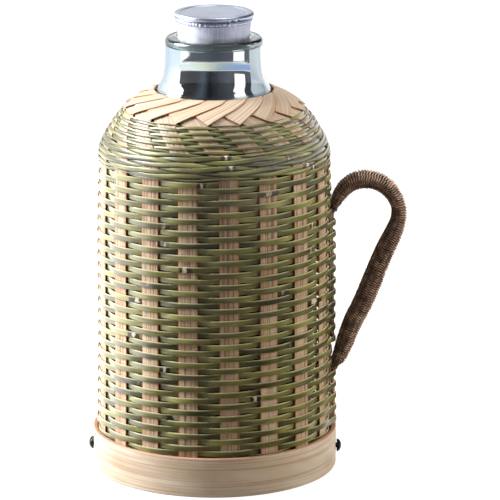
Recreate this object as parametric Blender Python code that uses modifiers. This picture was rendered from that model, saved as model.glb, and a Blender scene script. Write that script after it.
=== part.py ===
"""Glass-lined vacuum flask in a hand-woven bamboo case, with a twine-wound side handle.

The flask's axis is Z and it stands on z = 0.  The handle is on +X, the front looks along +Y.
Eighteen staves rise from the base hoop, lean over the shoulder, fold over the neck rim and come
down again as the plaited collar.  Two flat wefts chase each other up the wall, three cane strands
make the dense band above them, and two fine canes climb the shoulder.  The silvered glass liner
stands on a cushion inside, and a cork stopper clad in aluminium lifts out of its neck.
All lengths are in metres.
"""
import math

import bmesh
import bpy
import numpy as np

# Clearances
GAP = 0.0003                      # between pieces that touch
STRIP_GAP = 0.0006                # between the folded strips of the collar
TUCK_GAP = 0.0006                 # between a handle tail and the weft that holds it down
LAYER_GAP = 0.0006                # between the two layers of the collar
OVERRUN = 0.004                   # how far a cutter runs past what it cuts
MERGE_DISTANCE = 0.00001          # closes the seam of a turned piece

# Staves
STAVE_COUNT = 18
STAVE_WIDTH = 0.0127
STAVE_THICKNESS = 0.0009
COLLAR_STRIP_WIDTH = 0.0104       # the stave is pared down from the shoulder on
COLLAR_STRIP_THICKNESS = 0.0006
STAVE_END_HEIGHT = 0.0015         # lower end, above the ground
FOOT_RADIUS = 0.0781              # middle of the stave, at the hoop
SHOULDER_RADIUS = 0.0744          # at the turn from wall to shoulder
SHOULDER_END_RADIUS = 0.0570      # at the last shoulder weft
WALL_HEIGHT = 0.2190              # the turn's height above the ground
SHOULDER_RISE = 0.0263            # from the turn to the last shoulder weft
COLLAR_RISE = 0.0089              # from there to the neck rim
# Stations of the stave between those sizes, as shares of the change in radius and in height
WALL_SHARES = ((0.24, 0.252), (0.72, 0.915))
SHOULDER_SHARES = ((0.12, 0.18), (0.34, 0.46), (0.56, 0.69), (0.78, 0.865))
COLLAR_SHARES = ((0.32, 0.40), (0.66, 0.72))
SHOULDER_LEAN = math.radians(39)  # of a stave from its meridian
COLLAR_LEAN = math.radians(48)
FOLD_LEAN = math.radians(54)
TIP_SHARE = 0.22                  # width left at the cut end of a folded strip

# Wefts: two flat strips on the wall, three canes in the band, two fine canes on the shoulder
WALL_PITCH = 0.0040
WALL_WEFT_WIDTH = 0.0036
WALL_WEFT_THICKNESS = 0.0007
BAND_LENGTH = 0.0172              # of the dense band, along the stave
BAND_PITCH = 0.00233
BAND_CANE_WIDTH = 0.00195
BAND_CANE_THICKNESS = 0.0007
SHOULDER_PITCH = 0.00212
SHOULDER_CANE_WIDTH = 0.0017
SHOULDER_CANE_THICKNESS = 0.0006
BAND_DROP = 0.0080                # the dense band starts this far below the turn to the shoulder
LEAST_WEFT_WIDTH = 0.0006         # a weft starts and ends pared to this
WEFT_START = math.radians(90)     # azimuth, at the back

# Base
HOOP_HEIGHT = 0.0265
HOOP_THICKNESS = 0.0026
HOOP_EDGE = 0.0005
SCARF_LENGTH = 0.040              # of the slanted joint at the back, around the hoop
BOARD_THICKNESS = 0.0175
BOARD_EDGE = 0.0008
SCREW_HEIGHT = 0.0113
SCREW_HEAD_RADIUS = 0.0044
SCREW_HEAD_HEIGHT = 0.0030
SCREW_SHANK_RADIUS = 0.0017
SCREW_LENGTH = 0.0200
ROUND_STEPS = 36

# Glass liner
LINER_RADIUS = 0.0650
OUTER_WALL = 0.0018
INNER_WALL = 0.0016
VACUUM_GAP = 0.0040
NECK_RADIUS = 0.0325
NECK_BORE_RADIUS = 0.0240
NECK_RISE = 0.0368                # lip above the collar's rim
LIP_RADIUS = 0.0321
LIP_HEIGHT = 0.0046
LINER_SHOULDER_DEPTH = 0.0497     # from the collar's rim down to the straight glass wall
BOTTOM_DEPTH = 0.0250             # from the straight wall down to the glass bottom
TIP_LENGTH = 0.0042               # of the sealed tip under the bottom
TIP_RADIUS = 0.0034
GLASS_STEPS = 20
# Places on the liner's outline, as shares of radius (0 at the neck, 1 at the wall) and of depth
GLASS_SHOULDER_SHARES = ((0.232, 0.040), (0.320, 0.118), (0.500, 0.155), (0.760, 0.440),
                         (1.0, 1.0))
NECK_SHARES = ((0.0, 0.43), (0.04, 0.70), (0.17, 0.88))
BOTTOM_SHARES = ((0.93, 0.54), (0.68, 0.84), (0.30, 0.98))
# The inner flask's shoulder and bottom, as shares of its own radius and of the same depths
INNER_SHOULDER_SHARES = ((0.09, 0.20), (0.40, 0.37), (0.74, 0.62), (1.0, 1.10))
INNER_BOTTOM_SHARES = ((0.92, 0.46), (0.62, 0.76))
INNER_BOTTOM_RISE = 0.0046        # inner bottom above the outer bottom
PAD_RADIUS = 0.0050
PAD_RISE = 0.0060                 # of the spacer pads above the end of the straight wall
PAD_COUNT = 3
CUSHION_INNER_RADIUS = 0.0260
CUSHION_OUTER_RADIUS = 0.0520
CUSHION_THICKNESS = 0.0068        # least thickness, under the glass

# Stopper
STOPPER_LIP_RADIUS = 0.02372      # of the tapered skirt where it meets the glass lip
STOPPER_FOOT_RADIUS = 0.0213
STOPPER_DEPTH = 0.0330            # below the lip
STOPPER_RISE = 0.0120             # of the skirt above the lip
SKIRT_WALL = 0.0005
CAP_RADIUS = 0.0255
CAP_RISE = 0.0175                 # top of the cap above the lip
CAP_RIM_HEIGHT = 0.0034
CAP_EDGE = 0.0009
CAP_WALL = 0.0006
CAP_STEP_RADIUS = 0.0200
CAP_STEP_DEPTH = 0.0006
CRIMP_RADIUS = 0.0248
STOPPER_STEPS = 24

# Handle
TAIL_RADIUS = 0.0013
CORE_RADIUS = 0.0038
HANDLE_REACH = 0.1210             # farthest point of its centreline from the axis
HANDLE_TOP = 0.1950               # highest point of its centreline
UPPER_TUCK = 0.1690               # it leaves the weave over the last row below this height
LOWER_TUCK = 0.0650               # and enters it again over the last row below this one
UPPER_TAIL_SHARE = 0.77           # length of the upper tail, of the height between the tucks
LOWER_TAIL_SHARE = 0.93           # length of the lower tail, of the height from hoop to lower tuck
# Places along the tails, as shares of their lengths: the upper one from its end, the lower one
# from its tuck
UPPER_TAIL_SHARES = (0, 0.25, 0.5, 0.75, 0.95)
LOWER_TAIL_SHARES = (0, 0.33, 0.66, 1)
LEAVE_OUT = 0.0017                # from either tuck it stands off this far
LEAVE_UP = 0.0045                 # at this height above it
# The arch, as shares of the reach and of the height from the upper tuck up to the top,
RISE_SHARES = ((0.075, 0.334), (0.188, 0.685), (0.331, 0.914), (0.525, 1.0))
# and then as shares of the reach and of the height from the lower tuck up to the top
FALL_SHARES = ((0.74, 0.9758), (0.90, 0.922), (0.982, 0.861), (1.0, 0.802), (0.948, 0.732),
               (0.853, 0.651), (0.739, 0.567), (0.603, 0.453), (0.466, 0.343), (0.296, 0.233),
               (0.160, 0.117), (0.066, 0.036))
CORE_SHARES = (0, 0.015, 0.035, 0.06)            # points of the core near either tuck
CORE_POINTS = 16                  # and between those
ROUTE_STEPS = 12                  # of the centreline, between two of its places
TWINE_THICKNESS = 0.0018
WOUND_RADIUS = 0.0063             # outside of the winding
WOUND_END_RADIUS = 0.0042         # outside of the winding where it starts and ends
WINDING_CLEARANCE = 0.0014        # between the winding and the woven wall
TWINE_GAP = 0.0006                # between neighbouring turns
TWINE_TURNS = 24
TURN_POINTS = 12
WINDING_SLOPE = 0.16              # most that the winding thickens along the handle, at its ends
BAND_SHOULDER = 0.0009            # the band of twine is rounded off over this much of either edge

COLOURS = {
    "stave": (0.66, 0.47, 0.28), "weft": (0.30, 0.36, 0.13), "cane": (0.36, 0.42, 0.17),
    "hoop": (0.78, 0.64, 0.43), "board": (0.62, 0.45, 0.27), "screw": (0.02, 0.02, 0.02),
    "glass": (0.75, 0.86, 0.82), "silvered": (0.72, 0.75, 0.78), "felt": (0.52, 0.50, 0.46),
    "cork": (0.50, 0.32, 0.18), "aluminium": (0.75, 0.76, 0.78), "core": (0.40, 0.28, 0.15),
    "twine": (0.23, 0.15, 0.08),
}
FINISH = {  # roughness, metallic
    "glass": (0.05, 0.0), "silvered": (0.08, 0.9), "aluminium": (0.32, 1.0), "screw": (0.35, 0.6),
    "weft": (0.42, 0.0), "cane": (0.45, 0.0),
}


def clear_scene():
    for item in list(bpy.data.objects):
        bpy.data.objects.remove(item, do_unlink=True)


def collection(name):
    made = bpy.data.collections.new(name)
    bpy.context.scene.collection.children.link(made)
    return made


def finish_material(kind):
    if kind in bpy.data.materials:
        return bpy.data.materials[kind]
    material = bpy.data.materials.new(kind)
    material.use_nodes = True
    shader = material.node_tree.nodes["Principled BSDF"]
    roughness, metallic = FINISH.get(kind, (0.7, 0.0))
    shader.inputs["Base Color"].default_value = (*COLOURS[kind], 1.0)
    shader.inputs["Roughness"].default_value = roughness
    shader.inputs["Metallic"].default_value = metallic
    return material


def place(name, data, kind, group):
    item = bpy.data.objects.new(name, data)
    group.objects.link(item)
    material = finish_material(kind).copy()
    material.name = name
    data.materials.clear()
    data.materials.append(material)
    return item


def loft(name, sections, kind, group):
    """A closed body through a row of matching sections, with a cap at either end."""
    sections = np.asarray(sections, dtype=float)
    rows, sides = sections.shape[:2]
    mesh = bpy.data.meshes.new(name)
    edge = np.arange(sides)
    after = (edge + 1) % sides
    faces = [tuple(edge[::-1]), tuple((rows - 1) * sides + edge)]
    for row in range(rows - 1):
        low, high = row * sides, (row + 1) * sides
        faces += [(low + a, low + b, high + b, high + a) for a, b in zip(edge, after)]
    mesh.from_pydata(sections.reshape(-1, 3).tolist(), [], [tuple(map(int, f)) for f in faces])
    shape = bmesh.new()
    shape.from_mesh(mesh)
    bmesh.ops.recalc_face_normals(shape, faces=shape.faces)
    shape.to_mesh(mesh)
    shape.free()
    return place(name, mesh, kind, group)


def turned(name, profile, kind, group, steps, closed=False):
    """A profile of (radius, height) points, given down its outer side, turned about Z."""
    mesh = bpy.data.meshes.new(name)
    edges = [(i, i + 1) for i in range(len(profile) - 1)]
    if closed:
        edges.append((len(profile) - 1, 0))
    mesh.from_pydata([(r, 0, z) for r, z in profile], edges, [])
    item = place(name, mesh, kind, group)
    screw = item.modifiers.new("turn", "SCREW")
    screw.axis = "Z"
    screw.angle = math.tau
    screw.steps = screw.render_steps = steps
    screw.use_merge_vertices = True
    screw.merge_threshold = MERGE_DISTANCE
    screw.use_smooth_shade = True
    return item


def cylinder(name, radius, start, end, kind, group, sides=16):
    """A cylinder between two points."""
    start, end = np.asarray(start, dtype=float), np.asarray(end, dtype=float)
    along = end - start
    length = float(np.linalg.norm(along))
    bpy.ops.mesh.primitive_cylinder_add(vertices=sides, radius=radius, depth=length)
    made = bpy.context.object
    data = made.data
    bpy.data.objects.remove(made)
    item = place(name, data, kind, group)
    item.rotation_euler = (0, math.acos(along[2] / length), math.atan2(along[1], along[0]))
    item.location = (start + end) / 2
    return item


def cut(item, cutter):
    """Subtract one object from another."""
    cutter.hide_render = True
    cutter.display_type = "WIRE"
    difference = item.modifiers.new(cutter.name, "BOOLEAN")
    difference.operation = "DIFFERENCE"
    difference.solver = "EXACT"
    difference.object = cutter


def inset(outline, wall):
    """The outline moved inward by a wall; its first and last points keep their radius."""
    points = np.asarray(outline, dtype=float)
    along = np.diff(points, axis=0)
    along /= np.linalg.norm(along, axis=1)[:, None]
    inward = np.stack([along[:, 1], -along[:, 0]], axis=1)
    mitre = inward[:-1] + inward[1:]
    mitre /= (1 + np.sum(inward[:-1] * inward[1:], axis=1))[:, None]
    moved = points.copy()
    moved[1:-1] += wall * mitre
    moved[0] += wall * inward[0]
    moved[-1] += (0, wall)
    return moved


def smooth_route(points):
    """Points along a smooth curve through the given ones, at even steps of the spans."""
    points = np.asarray(points, dtype=float)
    long = np.linalg.norm(np.diff(points, axis=0), axis=1)[:, None]
    slope = np.diff(points, axis=0) / long
    inner = (long[:-1] * slope[1:] + long[1:] * slope[:-1]) / (long[:-1] + long[1:])
    tangent = np.vstack([slope[:1], inner, slope[-1:]])
    share = np.linspace(0, 1, ROUTE_STEPS, endpoint=False)[:, None]
    spans = []
    for span, a, b, leaving, arriving in zip(long, points, points[1:], tangent, tangent[1:]):
        spans.append((1 + 2 * share) * (1 - share) ** 2 * a + share ** 2 * (3 - 2 * share) * b
                     + span * share * (1 - share) * ((1 - share) * leaving - share * arriving))
    return np.vstack(spans + [points[-1:]])


# The stave: its middle line as stations (radius, height), and what follows from them
STEP_ANGLE = math.tau / STAVE_COUNT
FOLD_RADIUS = (COLLAR_STRIP_THICKNESS + LAYER_GAP) / 2


def between(start, end, shares):
    start, end = np.array(start), np.array(end)
    return [start + (end - start) * np.array(share) for share in shares]


def glass_neck_at_rim():
    """Radius of the glass where it passes through the collar."""
    return NECK_RADIUS + (LINER_RADIUS - NECK_RADIUS) * GLASS_SHOULDER_SHARES[0][0]


RIM_RADIUS = glass_neck_at_rim() + 2 * GAP + FOLD_RADIUS + COLLAR_STRIP_THICKNESS
SHOULDER_TOP = WALL_HEIGHT + SHOULDER_RISE
RIM_HEIGHT = SHOULDER_TOP + COLLAR_RISE

foot = (FOOT_RADIUS, STAVE_END_HEIGHT)
hoop_top = (FOOT_RADIUS, HOOP_HEIGHT)
turn = (SHOULDER_RADIUS, WALL_HEIGHT)
shoulder_end = (SHOULDER_END_RADIUS, SHOULDER_TOP)
rim = (RIM_RADIUS, RIM_HEIGHT)
UNDER = np.array([foot, hoop_top, *between(hoop_top, turn, WALL_SHARES), turn,
                  *between(turn, shoulder_end, SHOULDER_SHARES), shoulder_end,
                  *between(shoulder_end, rim, COLLAR_SHARES), rim])
FIRST_LEAN = 2 + len(WALL_SHARES)                     # station where the stave starts to lean
SHOULDER_LAST = FIRST_LEAN + len(SHOULDER_SHARES) + 1


def normals_of(points):
    along = np.diff(points, axis=0)
    along /= np.linalg.norm(along, axis=1)[:, None]
    outward = np.stack([along[:, 1], -along[:, 0]], axis=1)
    mean = np.vstack([outward[:1], outward[:-1] + outward[1:], outward[-1:]])
    return mean / np.linalg.norm(mean, axis=1)[:, None]


UNDER_NORMALS = normals_of(UNDER)
UNDER_ALONG = np.concatenate([[0], np.cumsum(np.linalg.norm(np.diff(UNDER, axis=0), axis=1))])


def leaning(points, leans, first=0.0):
    """Azimuth along a stave that turns clockwise by the given lean between its stations."""
    azimuth = [first]
    for (r0, z0), (r1, z1), lean in zip(points, points[1:], leans):
        azimuth.append(azimuth[-1] - math.tan(lean) * math.hypot(r1 - r0, z1 - z0) * 2 / (r0 + r1))
    return np.array(azimuth)


def lean_at(station):
    if station < FIRST_LEAN:
        return 0.0
    return SHOULDER_LEAN if station < SHOULDER_LAST else COLLAR_LEAN


UNDER_LEANS = [lean_at(i) for i in range(len(UNDER))]
UNDER_AZIMUTH = leaning(UNDER, UNDER_LEANS)
pared = np.clip((np.arange(len(UNDER)) - FIRST_LEAN) / 2.0, 0, 1)
UNDER_WIDTH = STAVE_WIDTH + (COLLAR_STRIP_WIDTH - STAVE_WIDTH) * pared
UNDER_THICKNESS = STAVE_THICKNESS + (COLLAR_STRIP_THICKNESS - STAVE_THICKNESS) * pared


def half_across(width, lean, radius):
    """Half of a leaning strip, measured around the flask, kept clear of its neighbour."""
    return min(width / (2 * math.cos(lean)), radius * math.tan(STEP_ANGLE / 2) - STRIP_GAP / 2)


UNDER_HALF = np.array([half_across(w, lean, r)
                       for w, lean, (r, z) in zip(UNDER_WIDTH, UNDER_LEANS, UNDER)])


def case_at(along):
    """Radius, height, outward normal, azimuth shift, half width and thickness of a stave."""
    columns = (UNDER[:, 0], UNDER[:, 1], UNDER_NORMALS[:, 0], UNDER_NORMALS[:, 1],
               UNDER_AZIMUTH, UNDER_HALF, UNDER_THICKNESS)
    r, z, nr, nz, shift, half, thickness = (np.interp(along, UNDER_ALONG, c) for c in columns)
    size = math.hypot(nr, nz)
    return r, z, nr / size, nz / size, shift, half, thickness


def along_at_height(height):
    return float(np.interp(height, UNDER[:, 1], UNDER_ALONG))


def stave_sections(azimuth):
    """Sections of one stave from its foot to the cut end of its folded strip."""
    rows = []
    for (r, z), (nr, nz), shift, half, thick in zip(UNDER, UNDER_NORMALS, UNDER_AZIMUTH,
                                                    UNDER_HALF, UNDER_THICKNESS):
        rows.append((r, z, nr, nz, shift, -half, half, thick))
    nr, nz = UNDER_NORMALS[-1]
    top_shift, half = UNDER_AZIMUTH[-1], UNDER_HALF[-1]
    centre = UNDER[-1] + FOLD_RADIUS * UNDER_NORMALS[-1]
    # at the fold the strip stands across the rim, its outward side turned to the neck
    edge = centre + FOLD_RADIUS * np.array([-nz, nr])
    rows.append((edge[0], edge[1], nz, -nr, top_shift, -half, half, COLLAR_STRIP_THICKNESS))
    over = UNDER[SHOULDER_LAST:][::-1] + 2 * FOLD_RADIUS * UNDER_NORMALS[SHOULDER_LAST:][::-1]
    over_normals = UNDER_NORMALS[SHOULDER_LAST:][::-1]
    end_along = 2 * GAP / np.linalg.norm(over[-1] - over[-2])
    over[-1] += (over[-2] - over[-1]) * end_along
    shifts = leaning(over, [FOLD_LEAN] * len(over), top_shift)
    for i, ((r, z), (nr, nz), shift) in enumerate(zip(over, over_normals, shifts)):
        half = half_across(COLLAR_STRIP_WIDTH, FOLD_LEAN, r)
        left = -half
        if i == len(over) - 1:
            left = half - 2 * half * TIP_SHARE
        rows.append((r, z, -nr, -nz, shift, left, half, COLLAR_STRIP_THICKNESS))
    sections = []
    for r, z, nr, nz, shift, left, right, thick in rows:
        angle = azimuth + shift
        out = np.array([math.cos(angle), math.sin(angle), 0.0])
        side = np.array([-math.sin(angle), math.cos(angle), 0.0])
        normal = nr * out + np.array([0.0, 0.0, nz])
        middle = r * out + np.array([0.0, 0.0, z])
        sections.append([middle + side * a + normal * b * thick / 2
                         for a, b in ((left, -1), (right, -1), (right, 1), (left, 1))])
    return sections


def on_case(along, azimuth, across, lift):
    """A point beside a stave's middle line: across it, and lifted off it along its normal."""
    r, z, nr, nz = case_at(along)[:4]
    radius = r + lift * nr
    return np.array([radius * math.cos(azimuth) - across * math.sin(azimuth),
                     radius * math.sin(azimuth) + across * math.cos(azimuth),
                     z + lift * nz])


def tail_radius(height):
    """Radius of a handle tail's centreline, where it lies on the stave."""
    r = case_at(along_at_height(height))[0]
    return r + STAVE_THICKNESS / 2 + GAP + TAIL_RADIUS


def tuck_at(height):
    """Top edge of the last weft row that passes over the handle's stave below a height."""
    climb = 2 * WALL_PITCH
    reach = WALL_WEFT_WIDTH / 2 + GAP
    first = along_at_height(HOOP_HEIGHT + GAP) + climb * (1 - WEFT_START / math.tau) - WALL_PITCH / 2
    row = math.floor((along_at_height(height) + GAP - reach - first) / climb)
    return case_at(first + climb * row + reach)[1]


def tails():
    """Heights between which the upper tail and the lower tail lie on the wall."""
    high, low = tuck_at(UPPER_TUCK), tuck_at(LOWER_TUCK)
    return ((high - (high - low) * UPPER_TAIL_SHARE, high),
            (low - (low - HOOP_HEIGHT) * LOWER_TAIL_SHARE, low))


def holds_tail(height):
    reach = WALL_WEFT_WIDTH / 2 + GAP
    return any(end - reach < height < tuck for end, tuck in tails())


def weft_sections(low, high, pitch, strands, strand, over, behind, first_over, width, thickness,
                  flat):
    """Sections of one strand that climbs between two places along the staves.

    It passes in front of some staves and behind the next, and is pared to a taper where the
    strand starts and ends, so that the rows close against the band below and above.
    """
    climb = pitch * strands                       # in one turn of the strand
    start = WEFT_START + math.tau * strand / strands
    first = int(round(start / STEP_ANGLE))
    turns = (high - low) / climb + 1
    sections = []

    def row_at(angle):
        middle = low + climb * (angle - start) / math.tau - pitch / 2
        bottom, top = max(middle - width / 2, low), min(middle + width / 2, high)
        return (bottom + top) / 2, top - bottom

    def add(along, tall, azimuth, across, lift):
        point = on_case(along, azimuth, across, lift)
        angle = math.atan2(point[1], point[0])
        nr, nz = case_at(along)[2:4]
        normal = np.array([nr * math.cos(angle), nr * math.sin(angle), nz])
        upward = np.array([-nz * math.cos(angle), -nz * math.sin(angle), nr])
        # a split strip has its flat skin outside and a ridge of pith inside, a cane its round side
        skin = 1 if flat else -1
        sections.append([point + upward * a * tall / 2 + normal * b * thickness / 2
                         for a, b in ((-1, skin), (1, skin), (0, -skin))])

    for count in range(int(math.ceil(turns * STAVE_COUNT)) + 1):
        stave = first + count
        guess = stave * STEP_ANGLE
        along, tall = row_at(guess)
        azimuth = guess + case_at(along)[4]
        along, tall = row_at(azimuth)
        if tall < LEAST_WEFT_WIDTH:
            continue
        r, z, nr, nz, shift, half, stave_thick = case_at(along)
        edge = half + GAP
        lift = (stave_thick + thickness) / 2 + GAP
        phase = (stave - first_over) % (over + behind)
        if phase < over:
            if phase == 0:
                add(along, tall, azimuth, -edge, lift)
            if flat and stave % STAVE_COUNT == 0 and holds_tail(z):
                add(along, tall, azimuth, 0, lift + 2 * TAIL_RADIUS + TUCK_GAP)
            if phase == over - 1:
                add(along, tall, azimuth, edge, lift)
            else:
                add(along, tall, azimuth, (r + lift * nr) * math.tan(STEP_ANGLE / 2), lift)
        elif phase == over:
            before = on_case(along, azimuth - STEP_ANGLE, edge, lift)
            out = np.array([math.cos(azimuth), math.sin(azimuth)])
            across = abs(before[0] * out[1] - before[1] * out[0])
            height = (before[:2] @ out - r) * nr + (before[2] - z) * nz
            if height > -lift:
                share = edge / across
                add(along, tall, azimuth, 0, -(lift + height * share) / (1 - share))
    return sections


def ring_at(radius, steps):
    """Radius of a polygon's corners whose flats lie at the given radius."""
    return radius / math.cos(math.pi / steps)


def make_case(group, cutters):
    staves = []
    for number in range(STAVE_COUNT):
        staves.append(loft(f"stave_{number + 1:02d}", stave_sections(number * STEP_ANGLE),
                           "stave", group))
    wall_low = along_at_height(HOOP_HEIGHT + GAP)
    wall_high = along_at_height(WALL_HEIGHT - BAND_DROP)
    band_high = wall_high + BAND_LENGTH
    shoulder_high = UNDER_ALONG[SHOULDER_LAST]
    for strand, letter in enumerate("ab"):
        loft(f"wall_weft_{letter}",
             weft_sections(wall_low, wall_high, WALL_PITCH, 2, strand, 1, 1, strand,
                           WALL_WEFT_WIDTH, WALL_WEFT_THICKNESS, True), "weft", group)
        loft(f"shoulder_weft_{letter}",
             weft_sections(band_high + GAP, shoulder_high, SHOULDER_PITCH, 2, strand, 1, 1, strand,
                           SHOULDER_CANE_WIDTH, SHOULDER_CANE_THICKNESS, False), "cane", group)
    for strand in range(3):
        loft(f"wale_strand_{strand + 1}",
             weft_sections(wall_high + GAP, band_high, BAND_PITCH, 3, strand, 2, 1, strand,
                           BAND_CANE_WIDTH, BAND_CANE_THICKNESS, False), "cane", group)
    make_base(group, cutters, staves)


def make_base(group, cutters, staves):
    corner = math.hypot(FOOT_RADIUS + STAVE_THICKNESS / 2, STAVE_WIDTH / 2)
    inner = ring_at(corner + GAP, ROUND_STEPS)
    outer = inner + HOOP_THICKNESS
    top = HOOP_HEIGHT
    hoop = turned("base_hoop", [(inner, top), (outer - HOOP_EDGE, top), (outer, top - HOOP_EDGE),
                                (outer, 0), (inner, 0)], "hoop", group, ROUND_STEPS, True)
    # the strip's two pared ends meet in a long slanted joint at the back
    saw = loft("scarf_cut", [[(side * SCARF_LENGTH / 2 + shift, depth, height)
                              for shift, depth in ((0, inner - OVERRUN), (GAP, inner - OVERRUN),
                                                   (GAP, outer + OVERRUN), (0, outer + OVERRUN))]
                             for side, height in ((-1, -OVERRUN), (1, top + OVERRUN))],
               "hoop", cutters)
    cut(hoop, saw)
    radius = FOOT_RADIUS - STAVE_THICKNESS / 2 - GAP
    board = turned("base_board", [(0, BOARD_THICKNESS), (radius, BOARD_THICKNESS),
                                  (radius, BOARD_EDGE), (radius - BOARD_EDGE, 0), (0, 0)],
                   "board", group, ROUND_STEPS)
    seat = outer + GAP
    point = seat - SCREW_LENGTH
    for side, name, stave in ((1, "right", staves[0]), (-1, "left", staves[STAVE_COUNT // 2])):
        dome = 3
        head = [(SCREW_HEAD_RADIUS * math.sin(math.pi / 2 * i / dome),
                 SCREW_HEAD_HEIGHT * math.cos(math.pi / 2 * i / dome)) for i in range(dome + 1)]
        shank = [(SCREW_SHANK_RADIUS, 0), (SCREW_SHANK_RADIUS, -SCREW_LENGTH + SCREW_SHANK_RADIUS),
                 (0, -SCREW_LENGTH)]
        screw = turned(f"hoop_screw_{name}", head + shank, "screw", group, 12)
        screw.rotation_euler = (0, side * math.pi / 2, 0)
        screw.location = (side * seat, 0, SCREW_HEIGHT)
        hole = cylinder(f"screw_hole_{name}", ring_at(SCREW_SHANK_RADIUS + GAP, 12),
                        (side * (point - GAP), 0, SCREW_HEIGHT),
                        (side * (seat + OVERRUN), 0, SCREW_HEIGHT), "screw", cutters, 12)
        for pierced in (hoop, board, stave):
            cut(pierced, hole)


def glass_outline():
    """Outer outline of the outer flask, down its outer side."""
    lip = RIM_HEIGHT + NECK_RISE
    bottom = glass_bottom()
    wall_low = bottom + BOTTOM_DEPTH
    span = LINER_RADIUS - NECK_RADIUS
    points = [(LIP_RADIUS, lip - LIP_HEIGHT - GAP)]
    for across, down in NECK_SHARES:
        points.append((NECK_RADIUS + span * across, lip - NECK_RISE * down))
    for across, down in GLASS_SHOULDER_SHARES:
        points.append((NECK_RADIUS + span * across, RIM_HEIGHT - LINER_SHOULDER_DEPTH * down))
    points.append((LINER_RADIUS, wall_low))
    for across, down in BOTTOM_SHARES:
        points.append((LINER_RADIUS * across, wall_low - BOTTOM_DEPTH * down))
    return points


def glass_bottom():
    return BOARD_THICKNESS + GAP + CUSHION_THICKNESS + GAP


def make_liner(group):
    lip = RIM_HEIGHT + NECK_RISE
    bottom = glass_bottom()
    outline = glass_outline()
    tip = [(TIP_RADIUS, bottom), (TIP_RADIUS * 2 / 3, bottom - TIP_LENGTH * 2 / 3),
           (0, bottom - TIP_LENGTH)]
    inside = inset(outline + [(0, bottom)], OUTER_WALL)
    turned("glass_outer_flask", [tuple(p) for p in inside[::-1]] + outline + tip, "glass", group,
           GLASS_STEPS)
    radius = LINER_RADIUS - OUTER_WALL - VACUUM_GAP
    neck = NECK_BORE_RADIUS + INNER_WALL
    wall_low = bottom + BOTTOM_DEPTH
    under_lip = lip - LIP_HEIGHT
    round_lip = [(NECK_BORE_RADIUS, lip - LIP_HEIGHT / 2),
                 (NECK_BORE_RADIUS + LIP_HEIGHT / 4, lip),
                 (LIP_RADIUS - LIP_HEIGHT / 4, lip), (LIP_RADIUS, lip - LIP_HEIGHT / 2),
                 (LIP_RADIUS - LIP_HEIGHT / 8, under_lip)]
    outer_side = [(neck, under_lip), (neck, RIM_HEIGHT)]
    span = radius - neck
    for across, down in INNER_SHOULDER_SHARES:
        outer_side.append((neck + span * across, RIM_HEIGHT - LINER_SHOULDER_DEPTH * down))
    outer_side.append((radius, wall_low + INNER_BOTTOM_RISE))
    for across, down in INNER_BOTTOM_SHARES:
        outer_side.append((radius * across, wall_low + INNER_BOTTOM_RISE - BOTTOM_DEPTH * down))
    outer_side.append((0, bottom + INNER_BOTTOM_RISE))
    inner_side = inset(outer_side, INNER_WALL)[1:]
    turned("glass_inner_flask", [tuple(p) for p in inner_side[::-1]] + round_lip + outer_side,
           "silvered", group, GLASS_STEPS)
    for number in range(PAD_COUNT):
        angle = WEFT_START + math.tau * number / PAD_COUNT
        height = wall_low + INNER_BOTTOM_RISE + PAD_RISE
        reach = (LINER_RADIUS - OUTER_WALL) * math.cos(math.pi / GLASS_STEPS) - GAP
        ends = [(r * math.cos(angle), r * math.sin(angle), height) for r in (radius + GAP, reach)]
        cylinder(f"spacer_pad_{number + 1}", PAD_RADIUS, *ends, "felt", group, 12)
    # the cushion follows the glass bottom that stands on it
    under = np.array(outline[:-len(BOTTOM_SHARES) - 2:-1])
    ring = [CUSHION_INNER_RADIUS, CUSHION_OUTER_RADIUS]
    ring[1:1] = [r for r in under[:, 0] if ring[0] < r < ring[-1]]
    top = [(r, float(np.interp(r, under[:, 0], under[:, 1])) - GAP * 2) for r in ring]
    turned("liner_cushion", [*top, (CUSHION_OUTER_RADIUS, BOARD_THICKNESS + GAP),
                             (CUSHION_INNER_RADIUS, BOARD_THICKNESS + GAP)], "felt", group,
           GLASS_STEPS, True)


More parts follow.
